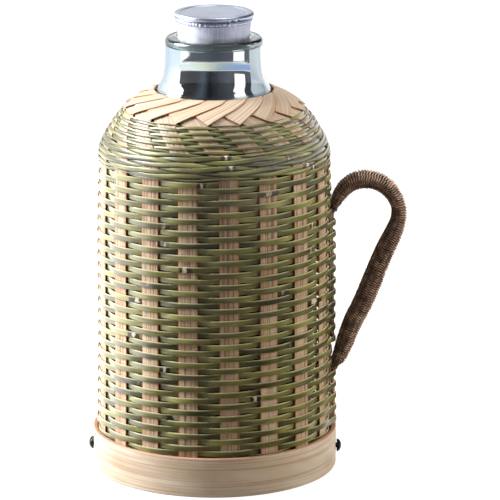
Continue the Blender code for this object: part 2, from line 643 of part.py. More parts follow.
def make_stopper(group):
    lip = RIM_HEIGHT + NECK_RISE
    taper = (STOPPER_LIP_RADIUS - STOPPER_FOOT_RADIUS) / STOPPER_DEPTH
    foot_height, skirt_top = lip - STOPPER_DEPTH, lip + STOPPER_RISE
    skirt_radius = STOPPER_LIP_RADIUS + taper * STOPPER_RISE
    inner_top = skirt_radius - SKIRT_WALL
    inner_foot = STOPPER_FOOT_RADIUS - SKIRT_WALL
    hem = STOPPER_FOOT_RADIUS - 4 * SKIRT_WALL
    lift = bpy.data.objects.new("stopper_lift", None)
    lift.location = (0, 0, lip)
    group.objects.link(lift)
    skirt = turned("stopper_skirt", [
        (inner_top, STOPPER_RISE), (skirt_radius, STOPPER_RISE),
        (STOPPER_FOOT_RADIUS, foot_height - lip + SKIRT_WALL),
        (STOPPER_FOOT_RADIUS - SKIRT_WALL, foot_height - lip), (hem, foot_height - lip),
        (hem, foot_height - lip + SKIRT_WALL), (inner_foot, foot_height - lip + SKIRT_WALL)],
        "aluminium", group, STOPPER_STEPS, True)
    cap_under = CAP_RISE - CAP_WALL - CAP_STEP_DEPTH
    cork = turned("stopper_cork", [
        (0, cap_under - GAP), (inner_top - 2 * GAP, cap_under - GAP),
        (inner_top - 2 * GAP, STOPPER_RISE),
        (inner_foot - GAP, foot_height - lip + SKIRT_WALL + GAP),
        (0, foot_height - lip + SKIRT_WALL + GAP)], "cork", group, STOPPER_STEPS)
    crown = CAP_RADIUS - CAP_EDGE
    cap = turned("stopper_cap", [
        (0, CAP_RISE - CAP_STEP_DEPTH), (CAP_STEP_RADIUS - CAP_STEP_DEPTH, CAP_RISE - CAP_STEP_DEPTH),
        (CAP_STEP_RADIUS, CAP_RISE), (crown, CAP_RISE),
        (CAP_RADIUS, CAP_RISE - CAP_EDGE), (CAP_RADIUS, CAP_RISE - CAP_RIM_HEIGHT + CAP_EDGE),
        (CRIMP_RADIUS, CAP_RISE - CAP_RIM_HEIGHT), (CRIMP_RADIUS, STOPPER_RISE + GAP),
        (inner_top - GAP, STOPPER_RISE + GAP), (inner_top - GAP, cap_under),
        (0, cap_under)], "aluminium", group, STOPPER_STEPS)
    for piece in (skirt, cork, cap):
        piece.parent = lift


def handle_route():
    """The handle's centreline in the plane y = 0, from the end of one tail to the other.

    Also the lengths along it, and the places of the upper and of the lower tail on it, each up
    to where the handle stands off the wall.
    """
    (upper_end, high), (lower_end, low) = tails()
    upper = [(tail_radius(z), z)
             for z in (upper_end + (high - upper_end) * share for share in UPPER_TAIL_SHARES)]
    lower = [(tail_radius(z), z)
             for z in (low - (low - lower_end) * share for share in LOWER_TAIL_SHARES)]
    rise, fall = [(0, 0), *RISE_SHARES], [*FALL_SHARES, (0, 0)]
    arch = []
    for tuck, shares in ((high, rise), (low, fall)):
        out, up = tail_radius(tuck) + LEAVE_OUT, tuck + LEAVE_UP
        arch += [(out + (HANDLE_REACH - out) * across, up + (HANDLE_TOP - up) * above)
                 for across, above in shares]
    route = smooth_route(upper + arch + lower)
    along = np.concatenate([[0], np.cumsum(np.linalg.norm(np.diff(route, axis=0), axis=1))])
    places = along[::ROUTE_STEPS]
    return route, along, places[:len(upper) + 1], places[len(upper) + len(arch) - 1:]


def make_handle(group):
    route, along, upper, lower = handle_route()
    first, last = upper[-1], lower[0]
    arch = last - first
    half_band = arch / TWINE_TURNS / 2
    # the winding starts and ends where there is room for a whole band beside the wall
    wall = np.array([case_at(along_at_height(z))[0] for z in route[:, 1]])
    wall += STAVE_THICKNESS / 2 + GAP + WALL_WEFT_THICKNESS
    room = route[:, 0] - wall - WINDING_CLEARANCE
    for tuck in (tuck_at(UPPER_TUCK), tuck_at(LOWER_TUCK)):
        held = tail_radius(tuck) + TAIL_RADIUS + TUCK_GAP + WALL_WEFT_THICKNESS
        from_weft = np.hypot(route[:, 0] - held, route[:, 1] - tuck)
        room = np.minimum(room, from_weft - WINDING_CLEARANCE)
    roomy = along[(room > WOUND_END_RADIUS) & (along > first) & (along < last)]
    wound = roomy[0] + half_band, roomy[-1] - half_band

    def outside(u):
        from_end = np.maximum(np.minimum(u - wound[0], wound[1] - u), 0)
        room_here = np.minimum(np.interp(u - half_band, along, room),
                               np.interp(u + half_band, along, room))
        free = np.minimum(WOUND_END_RADIUS + WINDING_SLOPE * from_end, WOUND_RADIUS)
        return np.minimum(free, np.maximum(room_here, WOUND_END_RADIUS))

    def core_radius(u):
        covering = np.minimum(outside(u - half_band), outside(u + half_band))
        inside = (covering - TWINE_THICKNESS) * math.cos(math.pi / TURN_POINTS) - GAP
        free = np.interp(u, [first, wound[0] - half_band, wound[1] + half_band, last],
                         [TAIL_RADIUS, CORE_RADIUS, CORE_RADIUS, TAIL_RADIUS])
        return np.minimum(np.minimum(inside, CORE_RADIUS), free)

    near = np.array(CORE_SHARES)
    shares = np.concatenate([near, np.linspace(near[-1], 1 - near[-1], CORE_POINTS + 2)[1:-1],
                             1 - near[::-1]])
    at_tuck = np.array([LEAVE_UP, LEAVE_UP / 2])
    spots = np.concatenate([upper[:-1], first - at_tuck, first + arch * shares,
                            last + at_tuck[::-1], lower[1:]])
    curve = bpy.data.curves.new("handle_core", "CURVE")
    curve.dimensions = "3D"
    curve.bevel_depth = 1.0
    curve.bevel_resolution = 2
    curve.resolution_u = 1
    curve.use_fill_caps = True
    spline = curve.splines.new("POLY")
    spline.points.add(len(spots) - 1)
    radii = core_radius(spots)
    for point, u, radius in zip(spline.points, spots, radii):
        point.co = (np.interp(u, along, route[:, 0]), 0, np.interp(u, along, route[:, 1]), 1)
        point.radius = float(radius)
    place("handle_core", curve, "core", group)

    turns = TWINE_TURNS * TURN_POINTS
    steps = np.arange(turns + 1) / turns

    def wind(step):
        """Centre of the twine and its outward direction, at a share of all the turns."""
        u = wound[0] + (wound[1] - wound[0]) * step
        centre = np.stack([np.interp(u, along, route[:, 0]), 0 * u,
                           np.interp(u, along, route[:, 1])], axis=-1)
        ahead = np.stack([np.interp(u + GAP, along, route[:, 0]), 0 * u,
                          np.interp(u + GAP, along, route[:, 1])], axis=-1) - centre
        ahead /= np.linalg.norm(ahead, axis=-1)[:, None]
        level = np.stack([-ahead[:, 2], ahead[:, 1], ahead[:, 0]], axis=-1)
        angle = math.tau * TWINE_TURNS * step
        outward = level * np.cos(angle)[:, None] + np.array([0, 1, 0]) * np.sin(angle)[:, None]
        return centre + outward * (outside(u) - TWINE_THICKNESS / 2)[:, None], outward

    middle, outward = wind(steps)
    one_turn = 1 / TWINE_TURNS
    onward = wind(np.minimum(steps + one_turn, 1))[0]
    back = wind(np.maximum(steps - one_turn, 0))[0]
    spacing = np.where(steps + one_turn > 1, np.inf, np.linalg.norm(onward - middle, axis=1))
    spacing = np.minimum(spacing, np.where(steps - one_turn < 0, np.inf,
                                           np.linalg.norm(back - middle, axis=1)))
    tangent = np.gradient(middle, axis=0)
    tangent /= np.linalg.norm(tangent, axis=1)[:, None]
    sideways = np.cross(tangent, outward)
    sideways /= np.linalg.norm(sideways, axis=1)[:, None]
    width = (spacing - TWINE_GAP)[:, None]
    deep = TWINE_THICKNESS / 2
    flat = width / 2 - BAND_SHOULDER
    sections = np.stack([middle + sideways * width / 2, middle + sideways * flat + outward * deep,
                         middle - sideways * flat + outward * deep, middle - sideways * width / 2,
                         middle - sideways * flat - outward * deep,
                         middle + sideways * flat - outward * deep], axis=1)
    loft("handle_winding", sections, "twine", group)
    print("winding: least gap between turns %.2f mm" % (1000 * least_gap(sections)))


def least_gap(sections):
    """Least distance between points of the winding that lie over half a turn apart."""
    halves = (sections[:-1] + sections[1:]) / 2
    dense = np.stack([sections[:-1], halves], axis=1).reshape(-1, *sections.shape[1:])
    rounds = np.concatenate([dense, (dense + np.roll(dense, 1, axis=1)) / 2], axis=1)
    order = np.repeat(np.arange(len(rounds)), rounds.shape[1])
    points = rounds.reshape(-1, 3)
    least = math.inf
    for start in range(0, len(points), 500):
        block = points[start:start + 500]
        far = np.abs(order[start:start + 500, None] - order[None, :]) > TURN_POINTS
        distance = np.linalg.norm(block[:, None, :] - points[None, :, :], axis=2)
        least = min(least, float(distance[far].min()))
    return least


def main():
    clear_scene()
    group = collection("vacuum_flask")
    cutters = collection("cutters")
    make_case(group, cutters)
    make_liner(group)
    make_stopper(group)
    make_handle(group)


main()
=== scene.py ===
# %% [markdown]
# # A glass-lined vacuum flask in a woven bamboo case
# This lesson dresses a vacuum flask: bamboo staves, woven wefts, a plaited collar, a silvered glass
# liner, a metal-clad stopper and a handle wound with jute twine.  The solids that carry it are
# loaded first.  They are the frame that every new piece sits on, in metres, with Z up, the handle
# on +X and the front facing -Y.

# %% Load the frame
import math

import bmesh
import bpy
import numpy as np
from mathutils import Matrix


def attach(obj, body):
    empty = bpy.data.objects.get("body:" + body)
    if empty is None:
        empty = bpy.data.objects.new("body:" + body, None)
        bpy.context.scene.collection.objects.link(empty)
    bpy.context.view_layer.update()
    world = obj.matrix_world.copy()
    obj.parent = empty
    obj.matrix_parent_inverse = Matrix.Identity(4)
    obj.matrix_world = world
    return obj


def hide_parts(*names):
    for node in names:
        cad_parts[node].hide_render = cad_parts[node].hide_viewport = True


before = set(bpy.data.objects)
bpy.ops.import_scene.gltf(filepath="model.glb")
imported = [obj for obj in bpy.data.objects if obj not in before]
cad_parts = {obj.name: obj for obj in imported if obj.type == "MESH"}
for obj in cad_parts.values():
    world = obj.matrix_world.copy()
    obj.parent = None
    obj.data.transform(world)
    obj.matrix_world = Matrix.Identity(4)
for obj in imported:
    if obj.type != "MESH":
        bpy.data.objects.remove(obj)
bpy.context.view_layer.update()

# %% [markdown]
# ## The camera
# The flask is seen from about two metres away through a long lens, a little from above.  Distance,
# height and focal length come from the ellipses of hoop, band and lip.  The camera stands slightly
# towards the handle's side, and looks past the flask's axis so that the handle has room.

# %% Camera
MM = 0.001
CAMERA_DISTANCE = 2.19
CAMERA_HEIGHT = 0.7116
CAMERA_ASIDE = 0.0237            # the view's centre line passes this far from the flask's axis
CAMERA_TURN = math.radians(2.3)
CAMERA_PITCH = math.radians(14.47)
FOCAL_PIXELS = 3391              # focal length in pixels of a frame 500 pixels wide
FRAME_PIXELS = 500
SENSOR_MM = 36
SEEN_TO = 20                     # metres


def put(name, data):
    """Puts a mesh, a lamp or a camera into the scene, as an object at the origin."""
    made = bpy.data.objects.new(name, data)
    bpy.context.scene.collection.objects.link(made)
    return made


camera = put("camera", bpy.data.cameras.new("camera"))
turn = np.array([[math.cos(CAMERA_TURN), -math.sin(CAMERA_TURN)],
                 [math.sin(CAMERA_TURN), math.cos(CAMERA_TURN)]])
camera.location = (*(turn @ (CAMERA_ASIDE, -CAMERA_DISTANCE)), CAMERA_HEIGHT)
camera.rotation_euler = (math.pi / 2 - CAMERA_PITCH, 0, CAMERA_TURN)
camera.data.sensor_width = SENSOR_MM
camera.data.lens = FOCAL_PIXELS / FRAME_PIXELS * SENSOR_MM
camera.data.clip_end = SEEN_TO
bpy.context.scene.camera = camera
print("camera: lens %.1f mm" % camera.data.lens)

# %% [markdown]
# ## Colour and nodes
# Colours are written as the hex values that a paint program shows, and one function turns them to
# the linear values that Blender's shaders expect.  A second small function adds a node, sets or
# links its inputs and hands back its output, so each material reads as a list of its layers.


# %% Colour and node helpers
MIX = {"out": 2, "data_type": "RGBA"}              # what a Mix node needs to mix colours


def linear(code):
    """sRGB hex to linear: c / 12.92 below 0.04045, else ((c + 0.055) / 1.055) ^ 2.4."""
    values = [int(code[i:i + 2], 16) / 255 for i in (1, 3, 5)]
    return (*(v / 12.92 if v <= 0.04045 else ((v + 0.055) / 1.055) ** 2.4 for v in values), 1.0)


def add(tree, kind, inputs=None, out=0, stops=(), **settings):
    """Adds a node.  inputs maps its sockets to numbers, hex colours or other nodes' outputs;
    stops are a ramp's (place, colour) pairs; settings are the node's own options."""
    made = tree.nodes.new("ShaderNode" + kind)
    for name, value in settings.items():
        setattr(made, name, value)
    for socket, value in (inputs or {}).items():
        if isinstance(value, bpy.types.NodeSocket):
            tree.links.new(value, made.inputs[socket])
        else:
            made.inputs[socket].default_value = linear(value) if isinstance(value, str) else value
    for number, (place, code) in enumerate(stops):
        spots = made.color_ramp.elements
        spot = spots[number] if number < 2 else spots.new(place)
        spot.position, spot.color = place, linear(code)
    return made.outputs[out]


def new_material(name, **sockets):
    """A material with one Principled shader, whose constant values are set on its own sockets."""
    made = bpy.data.materials.new(name)
    made.use_nodes = True
    shader = made.node_tree.nodes["Principled BSDF"]
    for socket, value in sockets.items():
        value = linear(value) if isinstance(value, str) else value
        shader.inputs[socket.replace("_", " ")].default_value = value
    return made, made.node_tree, shader


def finish(tree, shader, colour=None, roughness=None, height=None, distance=0.0):
    """Links a material's patterns to its shader; height is raised by a distance in metres."""
    for socket, output in (("Base Color", colour), ("Roughness", roughness)):
        if output is not None:
            tree.links.new(output, shader.inputs[socket])
    if height is not None:
        bump = add(tree, "Bump", {"Height": height, "Distance": distance, "Strength": 1.0})
        tree.links.new(bump, shader.inputs["Normal"])


print("middle grey is %.3f in linear values" % linear("#808080")[0])

# %% [markdown]
# ## Surfaces from arrays
# Every new piece is a grid of points worked out at once with numpy: rows along the piece, columns
# around it.  One function joins the grid into faces.  A strip's grid closes around its section and
# has a cap at either end, and a turned piece's grid closes where it meets itself.  The UV map is in
# millimetres, so that a pattern's scale can be read as a real size.


# %% Grid to mesh
MERGED = 1e-6                    # points closer than this, in metres, become one


def uv_of(across, along):
    """A UV map from places across a piece, in columns, and places along it, in rows."""
    return np.stack(np.broadcast_arrays(across, along), axis=-1)


def circle(count):
    """Angles of places spread evenly around a circle."""
    return np.arange(count) * math.tau / count


def outward(mesh, merge=None):
    """Turns a mesh's faces outward; points closer to each other than merge are joined first."""
    shape = bmesh.new()
    shape.from_mesh(mesh)
    if merge:
        bmesh.ops.remove_doubles(shape, verts=shape.verts, dist=merge)
    bmesh.ops.recalc_face_normals(shape, faces=shape.faces)
    shape.to_mesh(mesh)
    shape.free()


def surface(name, grid, uv=None, loop=False, caps=True, sharp=None, **attributes):
    """Joins a grid of points (rows, columns, 3) into one piece whose columns close on themselves.

    loop closes the rows too, and caps closes the first and the last row.  uv has one column more
    than the grid, and with loop one row more, so that the map doesn't jump where they meet.
    """
    grid = np.asarray(grid, dtype=np.float64)
    rows, cols = grid.shape[:2]
    row, col = np.meshgrid(np.arange(rows if loop else rows - 1), np.arange(cols), indexing="ij")
    above, after = (row + 1) % rows * cols, (col + 1) % cols
    below = row * cols
    quads = np.stack([below + col, below + after, above + after, above + col], axis=-1)
    quads = quads.reshape(-1, 4)
    corners, sizes = quads.ravel(), np.full(len(quads), 4)
    if caps and not loop:
        corners = np.concatenate([corners, np.arange(cols)[::-1],
                                  (rows - 1) * cols + np.arange(cols)])
        sizes = np.concatenate([sizes, [cols, cols]])
    mesh = bpy.data.meshes.new(name)
    mesh.vertices.add(rows * cols)
    mesh.vertices.foreach_set("co", grid.reshape(-1).astype(np.float32))
    mesh.loops.add(len(corners))
    mesh.loops.foreach_set("vertex_index", corners.astype(np.int32))
    mesh.polygons.add(len(sizes))
    starts = np.concatenate([[0], np.cumsum(sizes)[:-1]])
    mesh.polygons.foreach_set("loop_start", starts.astype(np.int32))
    mesh.update(calc_edges=True)
    if uv is not None:
        flat = np.stack([uv[row, col], uv[row, col + 1], uv[row + 1, col + 1],
                         uv[row + 1, col]], axis=2).reshape(-1, 2)
        rest = np.broadcast_to(flat[-1], (len(corners) - len(flat), 2))
        layer = mesh.uv_layers.new(name="UVMap")
        layer.data.foreach_set("uv", np.vstack([flat, rest]).ravel().astype(np.float32))
    for key, values in attributes.items():
        values = np.ascontiguousarray(np.broadcast_to(values, (rows, cols)), dtype=np.float32)
        mesh.attributes.new(key, "FLOAT", "POINT").data.foreach_set("value", values.ravel())
    outward(mesh, merge=MERGED)
    mesh.polygons.foreach_set("use_smooth", np.ones(len(mesh.polygons), bool))
    if sharp is not None:
        mesh.set_sharp_from_angle(angle=math.radians(sharp))
    return put(name, mesh)


def dress(piece, material, slot, body, *nodes):
    """Gives a piece its material and body, and lets it stand for its nodes."""
    piece.data.materials.append(material)
    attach(piece, body)
    if nodes:
        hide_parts(*nodes)
    triangles = sum(len(face.vertices) - 2 for face in piece.data.polygons)
    print("%-20s %7d triangles" % (piece.name, triangles))


print("points closer than %.3f mm are joined" % (MERGED / MM))

# %% [markdown]
# ## The line that the case follows
# A stave stands straight in the wall, turns over the shoulder and runs in under the neck rim.  Its
# middle line is a smooth curve through a few places.  From it come the radius, the height and the
# outward direction at any length along the stave.  From the shoulder on the staves lean, so their
# azimuth falls: at a lean a and a radius r it changes by tan(a) / r for each unit of length.

# %% Case line
STAVES = 18
STEP = math.tau / STAVES
CASE_PLACES = np.array([(78.1, 1.5), (78.1, 26.5), (77.21, 75.0), (75.44, 202.6), (74.4, 219.0),
                        (72.31, 223.7), (68.48, 231.1), (64.66, 237.1), (60.83, 241.7),
                        (57.0, 245.3), (52.15, 249.2), (46.99, 252.4), (41.7, 255.0)]) * MM
SPAN_STEPS = 24                  # of a smooth line, between two of its places
SHOULDER_LEAN, COLLAR_LEAN, FOLD_LEAN = (math.radians(a) for a in (39, 48, 54))


def smooth_line(places):
    """A cubic through each pair of places, with its slope at a place set by both neighbours."""
    places = np.asarray(places, dtype=float)
    long = np.linalg.norm(np.diff(places, axis=0), axis=1)[:, None]
    slope = np.diff(places, axis=0) / long
    inner = (long[:-1] * slope[1:] + long[1:] * slope[:-1]) / (long[:-1] + long[1:])
    tangent = np.vstack([slope[:1], inner, slope[-1:]])
    t = np.linspace(0, 1, SPAN_STEPS, endpoint=False)[None, :, None]
    a, b, m, n = places[:-1, None], places[1:, None], tangent[:-1, None], tangent[1:, None]
    bend = long[:, None] * t * (1 - t) * ((1 - t) * m - t * n)
    curve = (1 + 2 * t) * (1 - t) ** 2 * a + t ** 2 * (3 - 2 * t) * b + bend
    return np.vstack([curve.reshape(-1, places.shape[1]), places[-1:]])


def lengths(points):
    """Length along a line of points, from its start."""
    return np.concatenate([[0], np.cumsum(np.linalg.norm(np.diff(points, axis=0), axis=1))])


def unit(vectors):
    """Each row of vectors, scaled to length 1."""
    return vectors / np.linalg.norm(vectors, axis=1)[:, None]


def ease(x):
    """0 below 0, 1 above 1, and 3 x^2 - 2 x^3 between."""
    x = np.clip(x, 0, 1)
    return x * x * (3 - 2 * x)


def ramp(x, start, length):
    """0 up to a start, 1 once past its length, and an ease between."""
    return ease((x - start) / length)


CASE_LINE = smooth_line(CASE_PLACES)
CASE_ALONG = lengths(CASE_LINE)
CASE_TANGENT = unit(np.gradient(CASE_LINE, CASE_ALONG, axis=0))
# lengths at which the wall turns into the shoulder, the shoulder ends and the rim lies
TURN, SHOULDER_END, RIM = (float(CASE_ALONG[SPAN_STEPS * i]) for i in (4, 9, 12))
CASE_LEAN = (SHOULDER_LEAN * ramp(CASE_ALONG, TURN - 6 * MM, 14 * MM)
             + (COLLAR_LEAN - SHOULDER_LEAN) * ramp(CASE_ALONG, SHOULDER_END - 3 * MM, 8 * MM))
CASE_SHIFT = -np.concatenate([[0], np.cumsum(np.tan(CASE_LEAN[1:]) * np.diff(CASE_ALONG)
                                             / CASE_LINE[1:, 0])])


def on_case(along):
    """Radius, height, the outward direction's two parts, and azimuth shift at a length."""
    columns = (CASE_LINE[:, 0], CASE_LINE[:, 1], CASE_TANGENT[:, 1], -CASE_TANGENT[:, 0], CASE_SHIFT)
    return [np.interp(along, CASE_ALONG, column) for column in columns]


def along_at(height):
    """Length along the stave at a height of its middle line."""
    return float(np.interp(height, CASE_LINE[:, 1], CASE_ALONG))


def around(radius, azimuth, height):
    """Points (x, y, z) from radius, azimuth and height."""
    return np.stack(np.broadcast_arrays(radius * np.cos(azimuth), radius * np.sin(azimuth), height),
                    axis=-1)


print("stave: %.0f mm from foot to rim" % (RIM / MM))

# %% [markdown]
# ## Bamboo
# A bamboo culm has a hard waxy skin, green when it is fresh, over pale wood full of long brown
# fibre bundles.  The wefts are split from the skin side: olive and yellow-green with grey waxy
# patches, and glossy.  Their upper edge is painted pale: the torn wood, and a painted highlight
# where the light from above falls on it.  Where a node of the culm was, the strip has a dark scar and
# a cream and golden stretch.  The pattern reads the UV map, across and along the strip in
# millimetres, because the grain follows the strip and an image would repeat.


# %% Bamboo skin for the wefts
def stretched(tree, across, along, detail, roughness=0.5):
    """Inputs of a noise with its own number of periods per millimetre for each way of the map."""
    place = add(tree, "TexCoord", out="UV")
    place = add(tree, "VectorMath", {0: place, 1: (across, along, 1)}, operation="MULTIPLY")
    return {"Vector": place, "Scale": 1, "Detail": detail, "Roughness": roughness}


# waxy split skin: half glossy, colour patches 30 to 60 mm long, fibre lines about 0.3 mm apart
weft_skin, tree, shader = new_material("bamboo, split skin", Specular_IOR_Level=0.5,
                                       Coat_Weight=1.0, Coat_Roughness=0.30)
drift = add(tree, "TexNoise", stretched(tree, 0.05, 0.022, 2))
green = add(tree, "ValToRGB", {0: drift}, stops=[
    (0.30, "#3a3a18"), (0.43, "#5a5a25"), (0.56, "#7f7f3c"), (0.70, "#b0af60")])
wax = add(tree, "TexNoise", stretched(tree, 0.35, 0.05, 4, 0.6))
waxed = add(tree, "ValToRGB", {0: wax}, stops=[(0.52, "#000000"), (0.68, "#969696")])
green = add(tree, "Mix", {0: waxed, 6: green, 7: "#a3ab8b"}, **MIX)
stain = add(tree, "TexNoise", stretched(tree, 0.12, 0.045, 4))
stained = add(tree, "ValToRGB", {0: stain}, stops=[(0.56, "#000000"), (0.68, "#9a9a9a")])
green = add(tree, "Mix", {0: stained, 6: green, 7: "#6d5334"}, **MIX)
fibre = add(tree, "TexNoise", stretched(tree, 3.2, 0.06, 3))
lines = add(tree, "ValToRGB", {0: fibre}, stops=[(0.35, "#a59c86"), (0.60, "#ffffff")])
green = add(tree, "Mix", {0: 0.8, 6: green, 7: lines}, blend_type="MULTIPLY", **MIX)
# the attribute grows by 0.042 for each mm and is 0.5 at a node: there a dark scar, cream wood with
# a fine brown pattern, a thin scar and a golden stretch follow each other
near = add(tree, "Attribute", out="Fac", attribute_name="node")
ragged = add(tree, "TexNoise", stretched(tree, 0.9, 0.5, 3))
near = add(tree, "Math", {0: ragged, 1: 0.25, 2: near}, operation="MULTIPLY_ADD")
near = add(tree, "Math", {0: near, 1: 0.125}, operation="SUBTRACT")
marked = add(tree, "ValToRGB", {0: near}, stops=[
    (0.155, "#000000"), (0.165, "#ffffff"), (0.69, "#ffffff"), (0.72, "#a0a0a0"),
    (0.84, "#707070"), (0.95, "#000000")])
mark = add(tree, "ValToRGB", {0: near}, stops=[
    (0.17, "#0d0d12"), (0.355, "#15120f"), (0.37, "#e4dac3"), (0.49, "#d8cbaa"),
    (0.505, "#17130f"), (0.67, "#1f1a14"), (0.71, "#a5862c"), (0.92, "#a39a3c")])
flecks = add(tree, "TexNoise", stretched(tree, 1.3, 0.9, 3))
flecks = add(tree, "Math", {0: drift, 1: 0.9, 2: flecks}, operation="MULTIPLY_ADD")
speckled = add(tree, "ValToRGB", {0: flecks}, stops=[(0.79, "#4a3422"), (0.88, "#ffffff")])
mark = add(tree, "Mix", {0: 1.0, 6: mark, 7: speckled}, blend_type="MULTIPLY", **MIX)
close = add(tree, "Attribute", out="Fac", attribute_name="noded")
marked = add(tree, "Math", {0: marked, 1: close}, operation="MULTIPLY")
faint = add(tree, "MapRange", {0: drift, 1: 0.40, 2: 0.52, 3: 0.35, 4: 1.0})
marked = add(tree, "Math", {0: marked, 1: faint}, operation="MULTIPLY")
green = add(tree, "Mix", {0: marked, 6: green, 7: mark}, **MIX)
# pale torn wood on the upper edge only: a painted highlight where the light from above falls
edge_light_shade = add(tree, "Attribute", out="Fac", attribute_name="edge")
green = add(tree, "Mix", {0: edge_light_shade, 6: green, 7: "#d8cfa4"}, **MIX)
gloss = add(tree, "MapRange", {0: wax, 1: 0.3, 2: 0.7, 3: 0.34, 4: 0.52})
finish(tree, shader, green, gloss, fibre, 0.00006)
print("weft skin:", len(tree.nodes), "nodes")

# %% [markdown]
# ## Planed bamboo
# The staves, the hoop and the handle's rod are the wood under the skin.  Its fibre bundles show as
# thin reddish lines along a pale ground, and the edges are painted orange-brown: painted shade for
# the shadows in the gaps between strips.  Two noise textures, stretched along the strip, give the
# bundles and the fine grain.  Where the collar's strips are the inner, softer wood, the attribute
# "collar" blends to a straw colour.


# %% Bamboo wood for staves and hoop
def bamboo_wood(name, pale, tan, line_colour, spacing, contrast, dullness=0.55, collar=None):
    """Split bamboo wood: drifting ground colour, and fibre bundles a given spacing apart in mm."""
    made, tree, shader = new_material(name, Roughness=dullness, Specular_IOR_Level=0.45)
    drift = add(tree, "TexNoise", stretched(tree, 0.08, 0.025, 3))
    ground = add(tree, "ValToRGB", {0: drift}, stops=[(0.35, tan), (0.65, pale)])
    bundle = add(tree, "TexNoise", stretched(tree, 1 / spacing, 0.008, 2, 0.4))
    bundle_share = add(tree, "MapRange", {0: bundle, 1: 0.50, 2: 0.62, 3: 0.0, 4: contrast})
    fine = add(tree, "TexNoise", stretched(tree, 5.0, 0.05, 3))
    fine_share = add(tree, "MapRange", {0: fine, 1: 0.5, 2: 0.75, 3: 0.0, 4: 0.35 * contrast})
    share = add(tree, "Math", {0: bundle_share, 1: fine_share}, operation="MAXIMUM")
    colour = add(tree, "Mix", {0: share, 6: ground, 7: line_colour}, **MIX)
    if collar:
        where = add(tree, "Attribute", out="Fac", attribute_name="collar")
        straw = add(tree, "ValToRGB", {0: bundle}, stops=[(0.38, collar[1]), (0.62, collar[0])])
        straw = add(tree, "Mix", {0: 0.25, 6: straw, 7: ground}, blend_type="MULTIPLY", **MIX)
        colour = add(tree, "Mix", {0: where, 6: colour, 7: straw}, **MIX)
    # the edges are painted orange-brown: painted shade for the gaps between strips
    edge_light_shade = add(tree, "Attribute", out="Fac", attribute_name="edge")
    edge_light_shade = add(tree, "Math", {0: edge_light_shade, 1: 0.75}, operation="MULTIPLY")
    colour = add(tree, "Mix", {0: edge_light_shade, 6: colour, 7: "#a95c1e"}, **MIX)
    finish(tree, shader, colour, None, fine, 0.00008)
    return made


stave_wood = bamboo_wood("bamboo, planed stave", "#d8c1a6", "#b49576", "#713f2b", 1.15, 0.66,
                         collar=("#bca488", "#d9cbb9"))
hoop_wood = bamboo_wood("bamboo, planed hoop", "#e4d6c4", "#d5c0a7", "#a87c52", 1.3, 0.45, 0.42)
print("wood:", [m.name for m in (stave_wood, hoop_wood)])

# %% [markdown]
# ## The staves and the plaited collar
# Each stave is one split strip, 13 mm wide and 0.9 mm thick, pared down to 0.6 mm for the shoulder.
# Above the shoulder it folds over the neck rim and comes down outside as a strip of the collar,
# where each strip's lower edge lies over the next like a shingle.  A strip is a section carried
# along its middle line.  The section is a flat lens with rounded edges, and at the fold its outward
# direction n turns through half a circle: position = rim + R n + R (t sin a - n cos a).

# %% Strip section
STAVE_WIDTH, STAVE_THICK = 12.7 * MM, 0.9 * MM
COLLAR_WIDTH, COLLAR_THICK = 10.4 * MM, 0.6 * MM
OVER_WIDTH = 12.2 * MM           # the folded strips overlap
CROWN = 0.12                     # a strip is thicker in its middle by this share
FACE_ACROSS = np.array([-1, -.965, -.86, -.35, .35, .86, .965, 1])
FACE_THROUGH = np.array([.35, .8, .97, 1, 1, .97, .8, .35])
ACROSS = np.concatenate([FACE_ACROSS, FACE_ACROSS[::-1]])
THROUGH = np.concatenate([FACE_THROUGH, -FACE_THROUGH])
# both edges of a stave take the painted shade of the gaps between strips
EDGE_SHADE = (np.abs(ACROSS) > 0.95).astype(float)
print("strip section:", len(ACROSS), "points")

# %% [markdown]
# ## One stave
# Three stretches follow each other: up the wall and the shoulder, half a circle over the rim, and
# down outside.  The lengths at which the strip gets thinner, wider or leans are set by smooth ramps,
# so that no row of the grid jumps.  Each strip of the collar is tilted a little, one edge up and the
# other down, so that it covers the next one's edge, and it ends in a slanted cut.

# %% One stave
FOLD = 0.66 * MM                 # radius of the fold's middle line
SHINGLE = 0.42 * MM              # a folded strip's edges stand this far above and below its middle
TIP = 8.0 * MM                   # the slanted cut takes up this length
TIP_CUT = 0.97                   # share of the half width that the cut takes at the very end
DRAWN_IN = 2.2 * MM              # the collar's rim is drawn in towards the neck
COLLAR_DOWN = 3.2 * MM           # the folded strips reach this far below the shoulder's end
FOLD_SLIP = 1.12                 # they slide round by this much more than their lean alone gives
SIDE_GAP = 0.25 * MM             # between a strip's edge and the line between two staves
OVERLAP = 1.9 * MM               # of a folded strip over its neighbour
WALL_ROWS, SHOULDER_ROWS, FOLD_ROWS, COLLAR_ROWS = 60, 56, 9, 44


